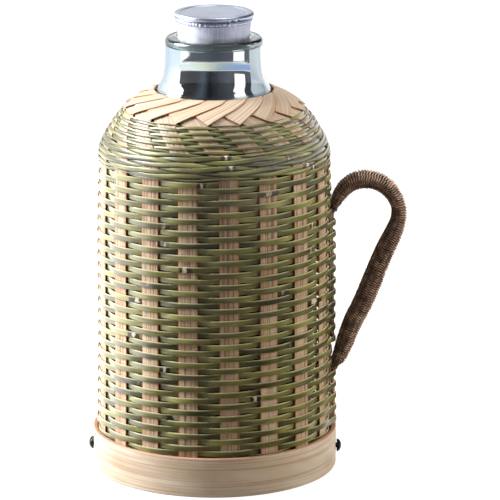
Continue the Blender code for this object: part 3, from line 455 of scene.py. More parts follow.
def stave_points(azimuth):
    """Grid of one stave, lengths along it, its share of collar, and its places across.

    turned is the angle by which the strip's outward direction has turned over the rim, and down is
    the length since the fold, 0 on the way up.
    """
    start = TURN - 8 * MM
    under = np.concatenate([np.linspace(0, start, WALL_ROWS),
                            np.linspace(start, RIM, SHOULDER_ROWS)[1:]])
    angle = np.linspace(0, math.pi, FOLD_ROWS)[1:-1]
    over = np.linspace(RIM, SHOULDER_END - COLLAR_DOWN, COLLAR_ROWS)
    station = np.concatenate([under, np.full(len(angle), RIM), over])
    turned = np.concatenate([np.zeros(len(under)), angle, np.full(len(over), math.pi)])
    folded = turned == math.pi
    down = np.where(folded, RIM - station, 0)

    r, z, nr, nz, shift = on_case(station)
    r = r - DRAWN_IN * ramp(station, RIM - 20 * MM, 18 * MM)
    at_rim = len(under) - 1
    slide = math.tan(FOLD_LEAN) * np.log(r / r[at_rim]) * FOLD_SLIP
    shift = np.where(folded, shift[at_rim] - slide, shift)[:, None]
    cos, sin = np.cos(turned), np.sin(turned)
    lift = FOLD * (1 - cos)
    middle_r = r + nr * lift - nz * FOLD * sin
    middle_z = z + nz * lift + nr * FOLD * sin
    out_r, out_z = nr * cos + nz * sin, nz * cos - nr * sin
    shingle = SHINGLE * ramp(down, 0, 5 * MM)

    pared = ramp(station, TURN - 3 * MM, 9 * MM)
    thick = STAVE_THICK + (COLLAR_THICK - STAVE_THICK) * pared
    wide = (STAVE_WIDTH + (COLLAR_WIDTH - STAVE_WIDTH) * pared
            + (OVER_WIDTH - COLLAR_WIDTH) * ramp(down, 0, 6 * MM))
    lean = np.where(folded, FOLD_LEAN, np.interp(station, CASE_ALONG, CASE_LEAN))
    half = wide / 2 / np.cos(lean)
    room = r * math.tan(STEP / 2) - SIDE_GAP
    # a rising strip spreads under the folded ones until it touches its neighbours
    spread = ramp(station, SHOULDER_END - 6 * MM, 6 * MM)
    rising = np.minimum(half, room) * (1 - spread) + room * spread
    falling = np.minimum(half, room + OVERLAP * ramp(down, 0, 4 * MM))
    half = np.where(down > 0, falling, rising)

    cut_off = (np.clip(1 - (station - over[-1]) / TIP, 0, TIP_CUT) * folded)[:, None]
    share = cut_off + (1 - cut_off) * ACROSS
    across = half[:, None] * share
    offset = thick[:, None] / 2 * THROUGH * (1 + CROWN * (1 - ACROSS ** 2))
    radius = middle_r[:, None] + out_r[:, None] * offset + (nr * shingle)[:, None] * share
    height = middle_z[:, None] + out_z[:, None] * offset + (nz * shingle)[:, None] * share
    # in the wall a stave is flat, and from the shoulder on it follows the case's curve
    side = np.arctan2(across, middle_r[:, None])
    bend = ramp(station, TURN, 14 * MM)[:, None]
    radius = radius * (bend + (1 - bend) / np.cos(side))
    points = around(radius, azimuth + shift + side, height)
    along = lengths(np.stack([middle_r, middle_z], axis=1))
    return points, along, ramp(station, TURN + 8 * MM, 20 * MM), across * np.cos(lean)[:, None]


MAP_STEP = 53.0                  # mm from one stave's piece of the pattern to the next one's
for number in range(STAVES):
    points, along, collar, across = stave_points(number * STEP)
    across = np.concatenate([across, across[:, :1]], axis=1) / MM + MAP_STEP * number
    stave = surface(f"split_stave_{number + 1:02d}", points, uv=uv_of(across, along[:, None] / MM),
                    sharp=50, edge=EDGE_SHADE[None, :], collar=collar[:, None])
    dress(stave, stave_wood, "stave_bamboo", "flask", f"stave_{number + 1:02d}")

# %% [markdown]
# ## The wefts
# Two flat strips chase each other up the wall, each in front of every second stave, so the rows of
# one fill the gaps of the other.  Three canes make the dense band above: each passes in front of
# two staves and behind one.  Two fine canes climb the shoulder.  A strand's place is a function of
# its own azimuth: it climbs evenly, and its lift off the staves swings between front and behind.
# Over a handle's tail it bulges out by the tail's thickness.

# %% One strand
WEFT_START = math.radians(90)
STATIONS = 12                    # of a strand, from stave to stave
LEAST_HEIGHT = 0.3 * MM          # a strand ends where less of its width is left
NODES, NODE_GAP = 60, (280, 460)                   # mm from one node of the culm to the next
NODE_SWELL, NODE_REACH = 0.35, 2.2 * MM            # a strip is thicker by this share at its nodes
SWAY_STEP = 27 * MM              # between two places where a strand's sway is drawn
TAIL_RANGES = np.array([(86.7, 168.9), (27.1, 64.9)]) * MM      # heights where a tail lies
TAIL_LIFT, TAIL_HALF = 2.35 * MM, 5.2 * MM


def over_under(phase, over, behind):
    """1 in front of a stave and -1 behind: a flattened cosine for over-one, else a smooth step."""
    if over == behind:
        wave = np.cos(phase * math.pi)
        return wave * (1.12 - 0.12 * wave ** 2)
    period = over + behind
    gap_centre = over + (behind - 1) / 2
    away = np.abs((phase - gap_centre + period / 2) % period - period / 2)
    return 2 * ease(away / 0.9) - 1


def strand_points(number, strands, section, low, high, pitch, over, behind, width, thick, lift,
                  wander, pinch, slide=0):
    """Grid of one of the strands that climb together, its length, and distance to a node in mm.

    low and high are lengths along the staves.  pinch narrows the strand where it passes from front
    to back.  slide moves it down over its first stave and up over its second, so that two strands
    in front fill the room of three.
    """
    across, through = section
    climb = pitch * strands
    start = WEFT_START + math.tau * number / strands
    count = math.ceil(((high - low) / climb + 1) * STAVES) + 2
    place = round(start / STEP) + np.arange(count * STATIONS) / STATIONS
    azimuth = place * STEP
    for _ in range(2):                               # the staves lean, so this is done twice
        middle = low + climb * (azimuth - start) / math.tau - pitch / 2
        azimuth = place * STEP + on_case(middle)[4]
    bottom, top = np.maximum(middle - width / 2, low), np.minimum(middle + width / 2, high)
    keep = top - bottom > LEAST_HEIGHT
    azimuth, phase, middle = azimuth[keep], place[keep] - number, ((bottom + top) / 2)[keep]
    swing = over_under(phase, over, behind)
    tall = (top - bottom)[keep] * (1 - pinch * (1 - swing ** 2))
    placed = (phase + 1) % (over + behind) - 1
    middle = middle - slide * np.cos(math.pi * placed) * (swing + 1) / 2
    r, z, nr, nz, shift = on_case(middle)
    run = np.concatenate([[0], np.cumsum(np.diff(azimuth) * r[1:])])

    places = np.cumsum(rng.uniform(*NODE_GAP, NODES)) * MM - rng.uniform(0, 400) * MM
    node = run[:, None] - places
    nearest = np.argmin(np.abs(node), axis=1)
    node = np.take_along_axis(node, nearest[:, None], axis=1)[:, 0]
    swell = 1 + NODE_SWELL * np.exp(-(node / NODE_REACH) ** 2)
    # each node's marks are drawn at a length and in a direction of their own
    node = node * (rng.uniform(0.6, 2.3, NODES) * rng.choice([-1, 1], NODES))[nearest]
    sway = np.interp(run, np.arange(0, run[-1] + 0.03, SWAY_STEP),
                     rng.normal(0, 1, int(run[-1] / SWAY_STEP) + 2)) * wander

    beside = (azimuth + math.pi) % math.tau - math.pi
    bulge = sum((z > foot) & (z < head) for foot, head in TAIL_RANGES) * (swing > 0)
    on_tail = bulge * np.exp(-(beside * r / TAIL_HALF) ** 2) * TAIL_LIFT
    off = (lift * swing + on_tail)[:, None] + thick / 2 * swell[:, None] * through
    up = tall[:, None] / 2 * across + sway[:, None]
    radius = r[:, None] + nr[:, None] * off - nz[:, None] * up
    height = z[:, None] + nz[:, None] * off + nr[:, None] * up
    return around(radius, azimuth[:, None], height), run, node / MM


print("strand stations:", STATIONS, "from stave to stave")

# %% [markdown]
# ## Three kinds of strands
# The wefts are flat and rounded on their skin side, and their upper torn edge is painted pale, a
# painted highlight where the light from above falls.  The canes are almost round, with the same
# painted highlight along their top.  One function weaves the strands of a kind, each started a turn's
# share after the last, and moves their maps apart so that no two show the same stretch of bamboo.

# %% Wall wefts, dense band and shoulder canes
WALL_LOW, WALL_HIGH = along_at(26.8 * MM), along_at(211.0 * MM)
BAND_HIGH = WALL_HIGH + 17.2 * MM
CANE_TOP = SHOULDER_END - 2.6 * MM
GAP = 0.3 * MM                   # between the rows of one kind and of the next
FLAT = np.array([[-1, -.955, -.5, .5, .955, 1, 1, .9, 0, -.95],
                 [.35, .9, 1.08, 1.08, .9, .35, -.6, -1, -.9, -1]])
CANE = np.array([[-1, -.8, -.35, .35, .8, 1, .75, 0, -.75],
                 [0, .75, 1.1, 1.1, .75, 0, -.8, -1, -.8]])
# pale upper edges of wefts and canes: painted highlight where the light from above falls
LIT_WEFT_TOP = 0.8 * (FLAT[0] > 0.95) * (FLAT[1] < 0.95)
LIT_CANE_TOP = 0.45 * (CANE[0] > 0.9)
rng = np.random.default_rng(7)


def weave(names, slot, section, edge, map_width, map_step, sharp=None, **shape):
    """Weaves the strands of a kind; names has a piece and its node for each.

    The attribute node grows to 1 over 24 mm and is 0.5 at a node, and noded is 1 near a node.
    """
    for number, (name, node_name) in enumerate(names):
        points, run, node = strand_points(number, len(names), section, **shape)
        face = np.append(section[0], section[0, 0]) * map_width / 2 + map_step * number
        strand = surface(name, points, uv=uv_of(face, run[:, None] / MM), sharp=sharp, edge=edge,
                         node=np.clip(0.5 + node / 24, 0, 1)[:, None],
                         noded=np.clip((13 - np.abs(node)) / 2, 0, 1)[:, None])
        dress(strand, weft_skin, slot, "flask", node_name)


weave([(f"split_weft_{n}", f"wall_weft_{n}") for n in "ab"], "weft_bamboo", FLAT, LIT_WEFT_TOP, 3.75, 91,
      sharp=32, low=WALL_LOW, high=WALL_HIGH, pitch=4.0 * MM, over=1, behind=1, width=3.75 * MM,
      thick=0.72 * MM, lift=1.42 * MM, wander=0.10 * MM, pinch=0.06)
weave([(f"band_cane_{n}", f"wale_strand_{n}") for n in "123"], "cane_bamboo", CANE, LIT_CANE_TOP, 3, 30,
      low=WALL_HIGH + GAP, high=BAND_HIGH, pitch=2.33 * MM, over=2, behind=1, width=3.1 * MM,
      thick=0.95 * MM, lift=1.2 * MM, wander=0.10 * MM, pinch=0.25, slide=0.55 * MM)
weave([(f"shoulder_cane_{n}", f"shoulder_weft_{n}") for n in "ab"], "cane_bamboo", CANE, LIT_CANE_TOP,
      2.4, 17, low=BAND_HIGH + GAP, high=CANE_TOP, pitch=2.12 * MM, over=1, behind=1,
      width=2.45 * MM, thick=0.8 * MM, lift=1.0 * MM, wander=0.06 * MM, pinch=0.2)

# %% [markdown]
# ## Turned pieces
# Hoop, board, glass, stopper and screws are round.  Each is a profile of radius and height carried
# once around its axis.  A profile is rounded first: every corner is cut by short steps along a
# quadratic curve.  The rows of the grid follow the profile, and the columns go around.


# %% Profile helpers
def rounded(profile, radius, steps=4):
    """Replaces each inner corner by the curve (1-t)^2 a + 2 t (1-t) corner + t^2 b."""
    profile = np.asarray(profile, dtype=float)
    before, corner, after = profile[:-2], profile[1:-1], profile[2:]
    cuts = []
    for other in (before, after):
        away = other - corner
        size = np.linalg.norm(away, axis=1, keepdims=True)
        cuts.append(corner + away / size * np.minimum(radius, size * 0.45))
    t = np.linspace(0, 1, steps + 1)[None, :, None]
    curve = ((1 - t) ** 2 * cuts[0][:, None] + 2 * t * (1 - t) * corner[:, None]
             + t ** 2 * cuts[1][:, None])
    return np.vstack([profile[:1], curve.reshape(-1, 2), profile[-1:]])


def refined(profile, step):
    """Adds points to a profile so that no two lie further apart than a step."""
    profile = np.asarray(profile, dtype=float)
    along = lengths(profile)
    more = np.unique(np.concatenate([along, np.arange(0, along[-1], step)]))
    more = more[np.concatenate([[True], np.diff(more) > 1e-7])]
    return np.stack([np.interp(more, along, profile[:, i]) for i in (0, 1)], axis=1)


def lathe(name, profile, columns=96, closed=False, move=None, sharp=40, **attributes):
    """Carries a profile around Z.  move(radius, azimuth, height) may change the points."""
    profile = np.asarray(profile, dtype=float)
    radius, azimuth, height = np.broadcast_arrays(profile[:, :1], circle(columns), profile[:, 1:])
    if move:
        radius, azimuth, height = move(radius, azimuth, height)
    along = lengths(profile)
    far = np.append(along, along[-1] + np.linalg.norm(profile[-1] - profile[0])) / MM
    turn = np.arange(columns + 1) / columns * math.tau * profile[:, 0].max() / MM
    return surface(name, around(radius, azimuth, height), uv=uv_of(turn, far[:, None]),
                   loop=closed, caps=False, sharp=sharp, **attributes)


print("profile helpers ready")

# %% [markdown]
# ## Hoop and board
# A strip of planed bamboo, 26.5 mm tall, is bent around the foot.  Its two pared ends meet in a
# long slanted joint at the back.  The hoop's section is carried around with a slant that follows
# the joint, so that both ends are cut along it.  A round sawn board closes the bottom.

# %% Hoop and board
HOOP_INNER, HOOP_OUTER, HOOP_HIGH = 79.05 * MM, 81.95 * MM, 26.5 * MM
SCARF = 40 * MM                  # length of the slanted joint
END_GAP = 0.25 * MM / HOOP_OUTER                   # angle between a pared end and the joint's middle
ROUGHNESS_HIGH = 0.12 * MM       # the outside is this uneven
section = rounded([(HOOP_INNER, HOOP_HIGH / 2), (HOOP_INNER, HOOP_HIGH), (HOOP_OUTER, HOOP_HIGH),
                   (HOOP_OUTER, 0), (HOOP_INNER, 0), (HOOP_INNER, HOOP_HIGH / 2)], 0.7 * MM)[:-1]
out, up = refined(section, 3 * MM).T
row = np.linspace(END_GAP, math.tau - END_GAP, 181)[:, None]
azimuth = math.pi / 2 + row - (up / HOOP_HIGH - 0.5) * SCARF / HOOP_OUTER
relief = ROUGHNESS_HIGH * np.sin(3 * azimuth + 1.3) * (out > HOOP_INNER + 1 * MM)
# the hoop's top and bottom corners get the edges' orange-brown painted shade
corner = np.abs(up - HOOP_HIGH / 2) > HOOP_HIGH / 2 - 0.5 * MM
hoop = surface("bent_hoop", around(out - np.abs(relief), azimuth, up), sharp=50, edge=0.8 * corner,
               uv=uv_of(np.append(up, up[0]) / MM, row * HOOP_OUTER / MM))
dress(hoop, hoop_wood, "hoop_wood", "flask", "base_hoop")

# sawn softwood: year rings a few millimetres apart, crossed by the board's face
board_wood, tree, shader = new_material("fir, sawn board", Roughness=0.7)
place = add(tree, "TexCoord", out="Object")
grain = add(tree, "VectorMath", {0: place, 1: (260, 9, 260)}, operation="MULTIPLY")
rings = add(tree, "TexNoise", {"Vector": grain, "Scale": 1, "Detail": 3})
colour = add(tree, "ValToRGB", {0: rings}, stops=[(0.35, "#a07a4c"), (0.62, "#d2b183")])
finish(tree, shader, colour, None, rings, 0.0001)
board = lathe("foot_board", rounded([(0, 17.5 * MM), (77.2 * MM, 17.5 * MM), (77.2 * MM, 0),
                                     (0, 0)], 1.2 * MM))
dress(board, board_wood, "board_wood", "flask", "base_board")

# %% [markdown]
# ## Screws
# Two screws hold hoop and board.  A head is a shallow dome with one straight slot, turned a little
# out of level.  Head and shank are one grid of circles around the screw's axis, and the slot is
# pressed into the dome by a smooth step.

# %% Screws
HEAD, HEAD_HIGH, HEAD_RINGS = 4.4 * MM, 3.0 * MM, 25
SHANK = 1.7 * MM                 # radius
SLOT_HALF, SLOT_DEEP, SLOT_TURN = 0.35 * MM, 1.1 * MM, 0.6
HEAD_FROM, SCREW_UP = 82.35 * MM, 11.3 * MM        # the head's foot from the axis, and its height


def screw_points(side):
    """Domed head with a straight slot, over its shank.

    The head's height is H sqrt(1 - (r / R)^2), less the slot's depth near the slot's line.
    """
    radius = np.concatenate([np.linspace(0, HEAD, HEAD_RINGS), np.full(3, SHANK), [1 * MM, 0]])
    radius = radius[:, None]
    on_head = np.arange(len(radius))[:, None] < HEAD_RINGS
    top = HEAD_HIGH * np.sqrt(np.clip(1 - (radius / HEAD) ** 2, 0, 1))
    top[HEAD_RINGS:, 0] = np.array([0, -10, -18, -19.5, -20]) * MM
    y, z = radius * np.cos(circle(64)), radius * np.sin(circle(64))
    across = np.abs(y * math.cos(SLOT_TURN) + z * math.sin(SLOT_TURN))
    slot = SLOT_DEEP * (1 - ramp(across, SLOT_HALF, 0.25 * MM))
    top = np.where(on_head, np.maximum(top - slot, 0), top)
    return np.stack([side * (HEAD_FROM + top), y, SCREW_UP + z], axis=-1)


# blackened steel: an oxide film over metal, half matt, with fine scratches
black_steel, tree, shader = new_material("steel, blackened screw", Metallic=0.85)
place = add(tree, "TexCoord", out="Object")
wear = add(tree, "TexNoise", {"Vector": place, "Scale": 900, "Detail": 4})
colour = add(tree, "ValToRGB", {0: wear}, stops=[(0.40, "#16171a"), (0.72, "#4a4843")])
finish(tree, shader, colour, add(tree, "MapRange", {0: wear, 3: 0.28, 4: 0.55}), wear, 0.00003)
for side, name in ((1, "right"), (-1, "left")):
    screw = surface(f"domed_screw_{name}", screw_points(side), caps=False, sharp=35)
    dress(screw, black_steel, "screw_steel", "flask", f"hoop_screw_{name}")

# %% [markdown]
# ## The glass liner
# Two blown flasks, one inside the other, are fused at the lip.  The space between them is pumped
# out, and its walls carry a film of silver, so the neck looks like a mirror behind clear glass.
# The outer flask is a closed glass wall with the film just inside it.  The inner flask is made the
# same way, with its film on the outside.  The glass wall follows its profile moved inward by the
# wall's thickness, along the mitre of neighbouring normals.

# %% Glass
def offset(profile, distance):
    """The profile moved along its inward normal by a distance; ends on the axis stay on it."""
    tangent = unit(np.gradient(profile, lengths(profile), axis=0))
    moved = profile + distance * np.stack([tangent[:, 1], -tangent[:, 0]], axis=1)
    moved[:, 0] = np.where(profile[:, 0] < 1e-6, 0, np.maximum(moved[:, 0], 0))
    return moved


# blown borosilicate glass: clear, with a trace of green where it is thick
clear_glass, tree, shader = new_material("borosilicate glass, blown", Roughness=0.02, IOR=1.473,
                                         Transmission_Weight=1.0)
height = add(tree, "SeparateXYZ", {0: add(tree, "TexCoord", out="Object")}, out=2)
thick = add(tree, "MapRange", {0: height, 1: 0.2855, 2: 0.2865, 3: 0.0, 4: 1.0})
finish(tree, shader, add(tree, "Mix", {0: thick, 6: "#f9fdfb", 7: "#e8f3ee"}, **MIX))
# silver film: a mirror, faintly uneven where it ran down while it was laid on
silver, tree, shader = new_material("silver, chemically laid film", Metallic=1.0,
                                    Base_Color="#f8f9fb")
place = add(tree, "TexCoord", out="Object")
run_down = add(tree, "VectorMath", {0: place, 1: (60, 60, 14)}, operation="MULTIPLY")
uneven = add(tree, "TexNoise", {"Vector": run_down, "Scale": 1, "Detail": 3})
# below the neck the film is painted dark and dull: painted shade of the case that stands around it
height = add(tree, "SeparateXYZ", {0: place}, out=2)
unshaded_neck = add(tree, "MapRange", {0: height, 1: 0.254, 2: 0.258, 3: 0.0, 4: 1.0})
colour = add(tree, "Mix", {0: unshaded_neck, 6: "#3b362e", 7: "#f8f9fb"}, **MIX)
rough = add(tree, "MapRange", {0: unshaded_neck, 3: 0.5, 4: 0.05})
finish(tree, shader, colour, rough, uneven, 0.00008)

OUTER_FLASK = np.array([(32.0, 287.6), (32.05, 279.6), (32.32, 273.6), (32.9, 268.6), (33.9, 264.0),
                        (36.6, 258.6), (40.0, 252.2), (42.9, 248.3), (48.7, 244.6), (57.2, 232.3),
                        (63.3, 217.0), (65.0, 204.5), (65.0, 150.0), (65.0, 100.0), (65.0, 49.9),
                        (60.4, 36.4), (44.2, 28.9), (19.5, 25.4), (0, 24.9)]) * MM
INNER_FLASK = np.array([(24.0, 288.7), (25.15, 291.0), (27.5, 291.4), (30.95, 291.0), (32.1, 288.7),
                        (31.4, 286.6), (26.6, 286.0), (25.6, 283.0), (25.6, 270.0), (25.6, 254.2),
                        (28.5, 245.2), (38.2, 236.6), (49.2, 224.6), (57.4, 209.0), (59.2, 196.0),
                        (59.2, 150.0), (59.2, 100.0), (59.2, 54.5), (54.5, 43.0), (36.7, 35.5),
                        (18.0, 30.5), (0, 29.5)]) * MM
LIP = 19 * MM                    # length of the inner flask's profile that is the fused lip
FILM = 0.1 * MM                  # far thicker than real silver, which has well under 0.001 mm


def blown(which, line, silvered, thick, film_at):
    """A glass wall, and its film at a distance from the line of its silvered stretch."""
    wall = np.vstack([line, offset(silvered, thick)[::-1]])
    film = np.vstack([offset(silvered, film_at), offset(silvered, film_at + FILM)[::-1]])
    dress(lathe(f"{which}_glass", wall, closed=True, sharp=70), clear_glass, "clear_glass",
          "flask", f"glass_{which}_flask")
    dress(lathe(f"{which}_silver_film", film, closed=True, sharp=70), silver, "silvered_glass",
          "flask")


outer_line, inner_line = smooth_line(OUTER_FLASK)[::3], smooth_line(INNER_FLASK)[::3]
blown("outer", outer_line, outer_line, 1.2 * MM, 1.3 * MM)
blown("inner", inner_line, inner_line[lengths(inner_line) > LIP], 1.5 * MM, -0.2 * MM)

# %% [markdown]
# ## The stopper
# A tapered cork wears a skirt and a cap of thin aluminium.  The sheet was drawn and spun, which
# leaves fine brushed lines: around the cap and down the skirt.  A noise texture, stretched along
# the UV map, gives the lines, and a second one the dull smudges that hands leave.


# %% Aluminium
def brushed(name, base, low, high, around_scale, down_scale, distance):
    """Spun or drawn aluminium: a metal whose roughness follows fine lines in the UV map."""
    made, tree, shader = new_material(name, Metallic=1.0, Base_Color=base)
    lines = add(tree, "TexNoise", stretched(tree, around_scale, down_scale, 4, 0.6))
    place = add(tree, "TexCoord", out="Object")
    smudge = add(tree, "TexNoise", {"Vector": place, "Scale": 55, "Detail": 3})
    both = add(tree, "Math", {0: lines, 1: smudge}, operation="ADD")
    rough = add(tree, "MapRange", {0: both, 1: 0.7, 2: 1.35, 3: low, 4: high})
    tone = add(tree, "MapRange", {0: both, 1: 0.6, 2: 1.4, 3: 0.0, 4: 1.0})
    colour = add(tree, "ValToRGB", {0: tone}, stops=[(0.1, "#a2a7b5"), (0.8, base)])
    finish(tree, shader, colour, rough, lines, distance)
    return made


skirt_metal = brushed("aluminium, drawn skirt", "#e2e3ec", 0.55, 0.78, 1.6, 0.05, 0.00010)
# the cap's blue-grey base is painted reflection of a pale blue sky above it
cap_metal = brushed("aluminium, spun cap", "#b4bdd0", 0.26, 0.42, 0.04, 2.4, 0.00006)
print("metals:", skirt_metal.name, "and", cap_metal.name)

# %% [markdown]
# ## Skirt, cap and cork
# The skirt is wrapped and has a lap seam.  The cap is pressed onto it, with a rounded rim, a shallow
# step in its top and a crimp below that is puckered on one side.  The puckers are added to the
# turned shape as a change of radius with the azimuth: depth * sin(n azimuth) in a smooth window.

# %% Skirt, cap and cork
SEAM_AT, PUCKER_AT, PUCKER_HALF = math.radians(-62), math.radians(-56), 0.5


def window(azimuth, middle, half):
    """1 at the middle, and 0 further than half away from it."""
    away = np.abs((azimuth - middle + math.pi) % math.tau - math.pi)
    return ease(1 - away / half)


def skirt_move(radius, azimuth, height):
    """Lap seam, a slight wobble of the sheet, and dents near the crimp."""
    past_seam = (azimuth - SEAM_AT) % math.tau
    seam = 0.35 * MM * ramp(past_seam, 0, 0.02) * (1 - ramp(past_seam, 0, 0.9))
    wobble = 0.07 * MM * np.sin(7 * azimuth + 900 * height) + 0.05 * MM * np.sin(11 * azimuth)
    near_crimp = ramp(height, 296.5 * MM, 5 * MM)
    pucker = np.sin(31 * azimuth) + 0.7 * np.sin(47 * azimuth + 2)
    pucker = 0.13 * MM * pucker * window(azimuth, PUCKER_AT, PUCKER_HALF) * near_crimp
    outside = radius > 21.2 * MM
    return radius + np.where(outside, seam * 0.6 + wobble + pucker, 0), azimuth, height


def cap_move(radius, azimuth, height):
    """The cap's rim is puckered on one side, and its top isn't quite flat."""
    low = ease((307.6 * MM - height) / (3 * MM)) * (radius > 23 * MM)
    pucker = window(azimuth, PUCKER_AT, PUCKER_HALF) * low
    crease = np.sin(38 * azimuth) + 0.6 * np.sin(61 * azimuth + 1) + 0.4 * np.sin(97 * azimuth)
    crimp = 0.20 * MM * np.sin(54 * azimuth + 2 * np.sin(9 * azimuth)) * (height < 303.6 * MM) * low
    flat = (radius < 24 * MM) * (height > 307 * MM)
    sag = 0.1 * MM * flat * np.sin(2 * azimuth + 0.6) * radius / (24 * MM)
    lifted = 0.3 * MM * pucker * np.sin(29 * azimuth)
    return radius + pucker * MM * (0.3 * crease - 0.35) + crimp, azimuth, height + lifted - sag


skirt_line = rounded([(24.02, 304.0), (24.6, 304.0), (21.35, 258.4), (20.85, 258.0),
                      (19.3, 258.0), (19.3, 258.5), (20.85, 258.5), (24.02, 303.6)], 0.3)
skirt = lathe("drawn_skirt", refined(skirt_line, 1.2) * MM, columns=240, closed=True,
              move=skirt_move, sharp=60)
dress(skirt, skirt_metal, "aluminium", "stopper", "stopper_skirt")

cap_line = rounded([(0, 307.6), (12, 307.6), (20.4, 307.75), (21.2, 307.25), (22.0, 307.95),
                    (24.3, 308.2), (25.6, 307.75), (26.25, 306.8), (26.3, 305.7), (26.0, 304.8),
                    (25.3, 304.1), (24.95, 303.8), (25.2, 303.2), (25.25, 302.3), (25.0, 301.7),
                    (24.72, 301.9), (24.75, 303.2), (25.2, 305.2), (24.4, 307.2), (21.2, 306.8),
                    (0, 307.0)], 0.5)
cap = lathe("spun_cap", refined(cap_line, 0.7) * MM, columns=300, move=cap_move, sharp=60)
dress(cap, cap_metal, "aluminium", "stopper", "stopper_cap")

# pressed cork: tan granules of 1 to 3 mm with dark pores between them
cork_stuff, tree, shader = new_material("cork, pressed", Roughness=0.85)
place = add(tree, "TexCoord", out="Object")
grains = add(tree, "TexVoronoi", {"Vector": place, "Scale": 420}, out=1)
pores = add(tree, "TexNoise", {"Vector": place, "Scale": 700, "Detail": 4})
colour = add(tree, "ValToRGB", {0: pores}, stops=[
    (0.40, "#5e3d22"), (0.50, "#b98a57"), (0.75, "#d2a974")])
colour = add(tree, "Mix", {0: 0.25, 6: colour, 7: grains}, blend_type="SOFT_LIGHT", **MIX)
finish(tree, shader, colour, None, pores, 0.0004)
cork_line = rounded([(0, 306.4), (23.3, 306.4), (23.3, 303.0), (20.4, 258.9), (0, 258.9)], 0.8)
cork = lathe("tapered_cork", cork_line * MM)
dress(cork, cork_stuff, "cork", "stopper", "stopper_cork")

# %% [markdown]
# ## The soft pieces inside
# The liner stands on a ring of felt, and three small felt pads keep the two glass flasks apart.
# Felt has no weave: short fibres lie in all directions, which gives a soft, matt, slightly lumpy
# surface.  The cushion is crowned where it is free and pressed to the bowl shape under the glass.

# %% Felt
felt_stuff, tree, shader = new_material("wool felt, pressed", Roughness=0.95, Sheen_Weight=0.3)
place = add(tree, "TexCoord", out="Object")
wool = add(tree, "TexNoise", {"Vector": place, "Scale": 1500, "Detail": 5, "Roughness": 0.7})
colour = add(tree, "ValToRGB", {0: wool}, stops=[(0.35, "#7d776a"), (0.68, "#aaa492")])
finish(tree, shader, colour, None, wool, 0.0005)
cushion_line = np.array([(26, 25.1), (30, 25.9), (36, 26.9), (44.2, 28.4), (52, 32.0), (52.6, 28),
                         (52.2, 20.5), (51, 17.85), (39, 17.85), (27, 17.85), (25.8, 20.5),
                         (25.6, 23), (26, 25.1)]) * MM


def cushion_move(radius, azimuth, height):
    """Free sides pull in and out a little, as 0.4 mm sin(9 azimuth), away from the glass."""
    free = ease((24 * MM - height) / (5 * MM)) * ease((height - 18.2 * MM) / (2 * MM))
    return radius + 0.4 * MM * np.sin(9 * azimuth) * free, azimuth, height


cushion = lathe("felt_ring", smooth_line(cushion_line)[:-1:4], closed=True, move=cushion_move)
dress(cushion, felt_stuff, "felt", "flask", "liner_cushion")
pad_profile = rounded([(0, 59.5), (4.9, 59.5), (5.0, 61.0), (4.9, 62.6), (0, 62.6)], 0.5) * MM
PAD_UP = 60.5 * MM
turn, up = circle(24)[:, None], np.array([0, 0, 1])
for number, azimuth in enumerate(WEFT_START + circle(3)):
    out, aside = around(1, azimuth, 0), around(1, azimuth + math.pi / 2, 0)
    ring = np.cos(turn) * aside + np.sin(turn) * up
    pad_grid = pad_profile[:, None, 1:] * out + pad_profile[:, None, :1] * ring + up * PAD_UP
    pad = surface(f"felt_pad_{number + 1}", pad_grid, caps=False, sharp=50)
    dress(pad, felt_stuff, "felt", "flask", f"spacer_pad_{number + 1}")

# %% [markdown]
# ## The handle
# A bent rod is tucked into the weave at both ends, down the front of one stave.  Its line is a
# smooth curve through places in the plane of the handle, and every piece of the handle is worked
# out from a length along the line, an angle around it and a distance from it.

# %% Handle line
HANDLE = np.array([(79.07, 88.81), (78.79, 108.83), (78.51, 128.85), (78.23, 148.86),
                   (78.01, 168.0), (79.55, 177.0), (82.50, 184.00), (87.20, 190.60),
                   (93.34, 194.80), (101.36, 196.1), (111.30, 193.20), (118.60, 186.20),
                   (122.40, 178.0), (122.50, 169.80), (119.60, 160.80), (115.14, 151.16),
                   (110.60, 140.61), (105.18, 126.29), (99.72, 112.48), (92.94, 98.66),
                   (87.52, 84.09), (83.78, 73.92), (81.15, 69.39), (79.45, 64.89),
                   (79.66, 53.11), (79.88, 41.33), (80.10, 29.19)]) * MM
handle_line = smooth_line(HANDLE)
handle_along = lengths(handle_line)
UPPER_LEAVES, LOWER_LEAVES = (float(handle_along[SPAN_STEPS * i]) for i in (5, 23))
handle_tangent = unit(np.gradient(handle_line, handle_along, axis=0))


def on_handle(along):
    """Point and unit direction of the handle's line, both in its plane y = 0."""
    found = []
    for values in (handle_line, handle_tangent):
        x, z = (np.interp(along, handle_along, values[:, i]) for i in (0, 1))
        found.append(np.stack([x, np.zeros_like(x), z], axis=-1))
    return found


def about_handle(along, angle, radius):
    """Points at an angle and a distance around the handle's line."""
    place, ahead = on_handle(along)
    level = np.stack([-ahead[..., 2], ahead[..., 1], ahead[..., 0]], axis=-1)
    out = level * np.cos(angle)[..., None] + np.array([0, 1, 0]) * np.sin(angle)[..., None]
    return place + out * np.asarray(radius)[..., None]


print("handle: %.0f mm of line" % (handle_along[-1] / MM))

# %% [markdown]
# ## Rod and twine
# The rod is a circle carried along the handle's line, and jute twine is wound on it, some 120 turns
# side by side.  The twine is two plies twisted around each other: its middle is a helix around the
# handle's line, and each ply is a helix around that, half a turn apart.  Both helices are worked out
# for all turns at once.

# %% Rod and twine
WOUND_FROM, WOUND_TO = UPPER_LEAVES - 3.0 * MM, LOWER_LEAVES - 1.2 * MM
TWINE_PITCH = 1.56 * MM
PLY = 0.42 * MM                  # radius of one ply
TWIST = 0.33 * MM                # distance of a ply's middle from the twine's middle
TURN_STEPS, TWISTS = 40, 5       # points and twists in one turn
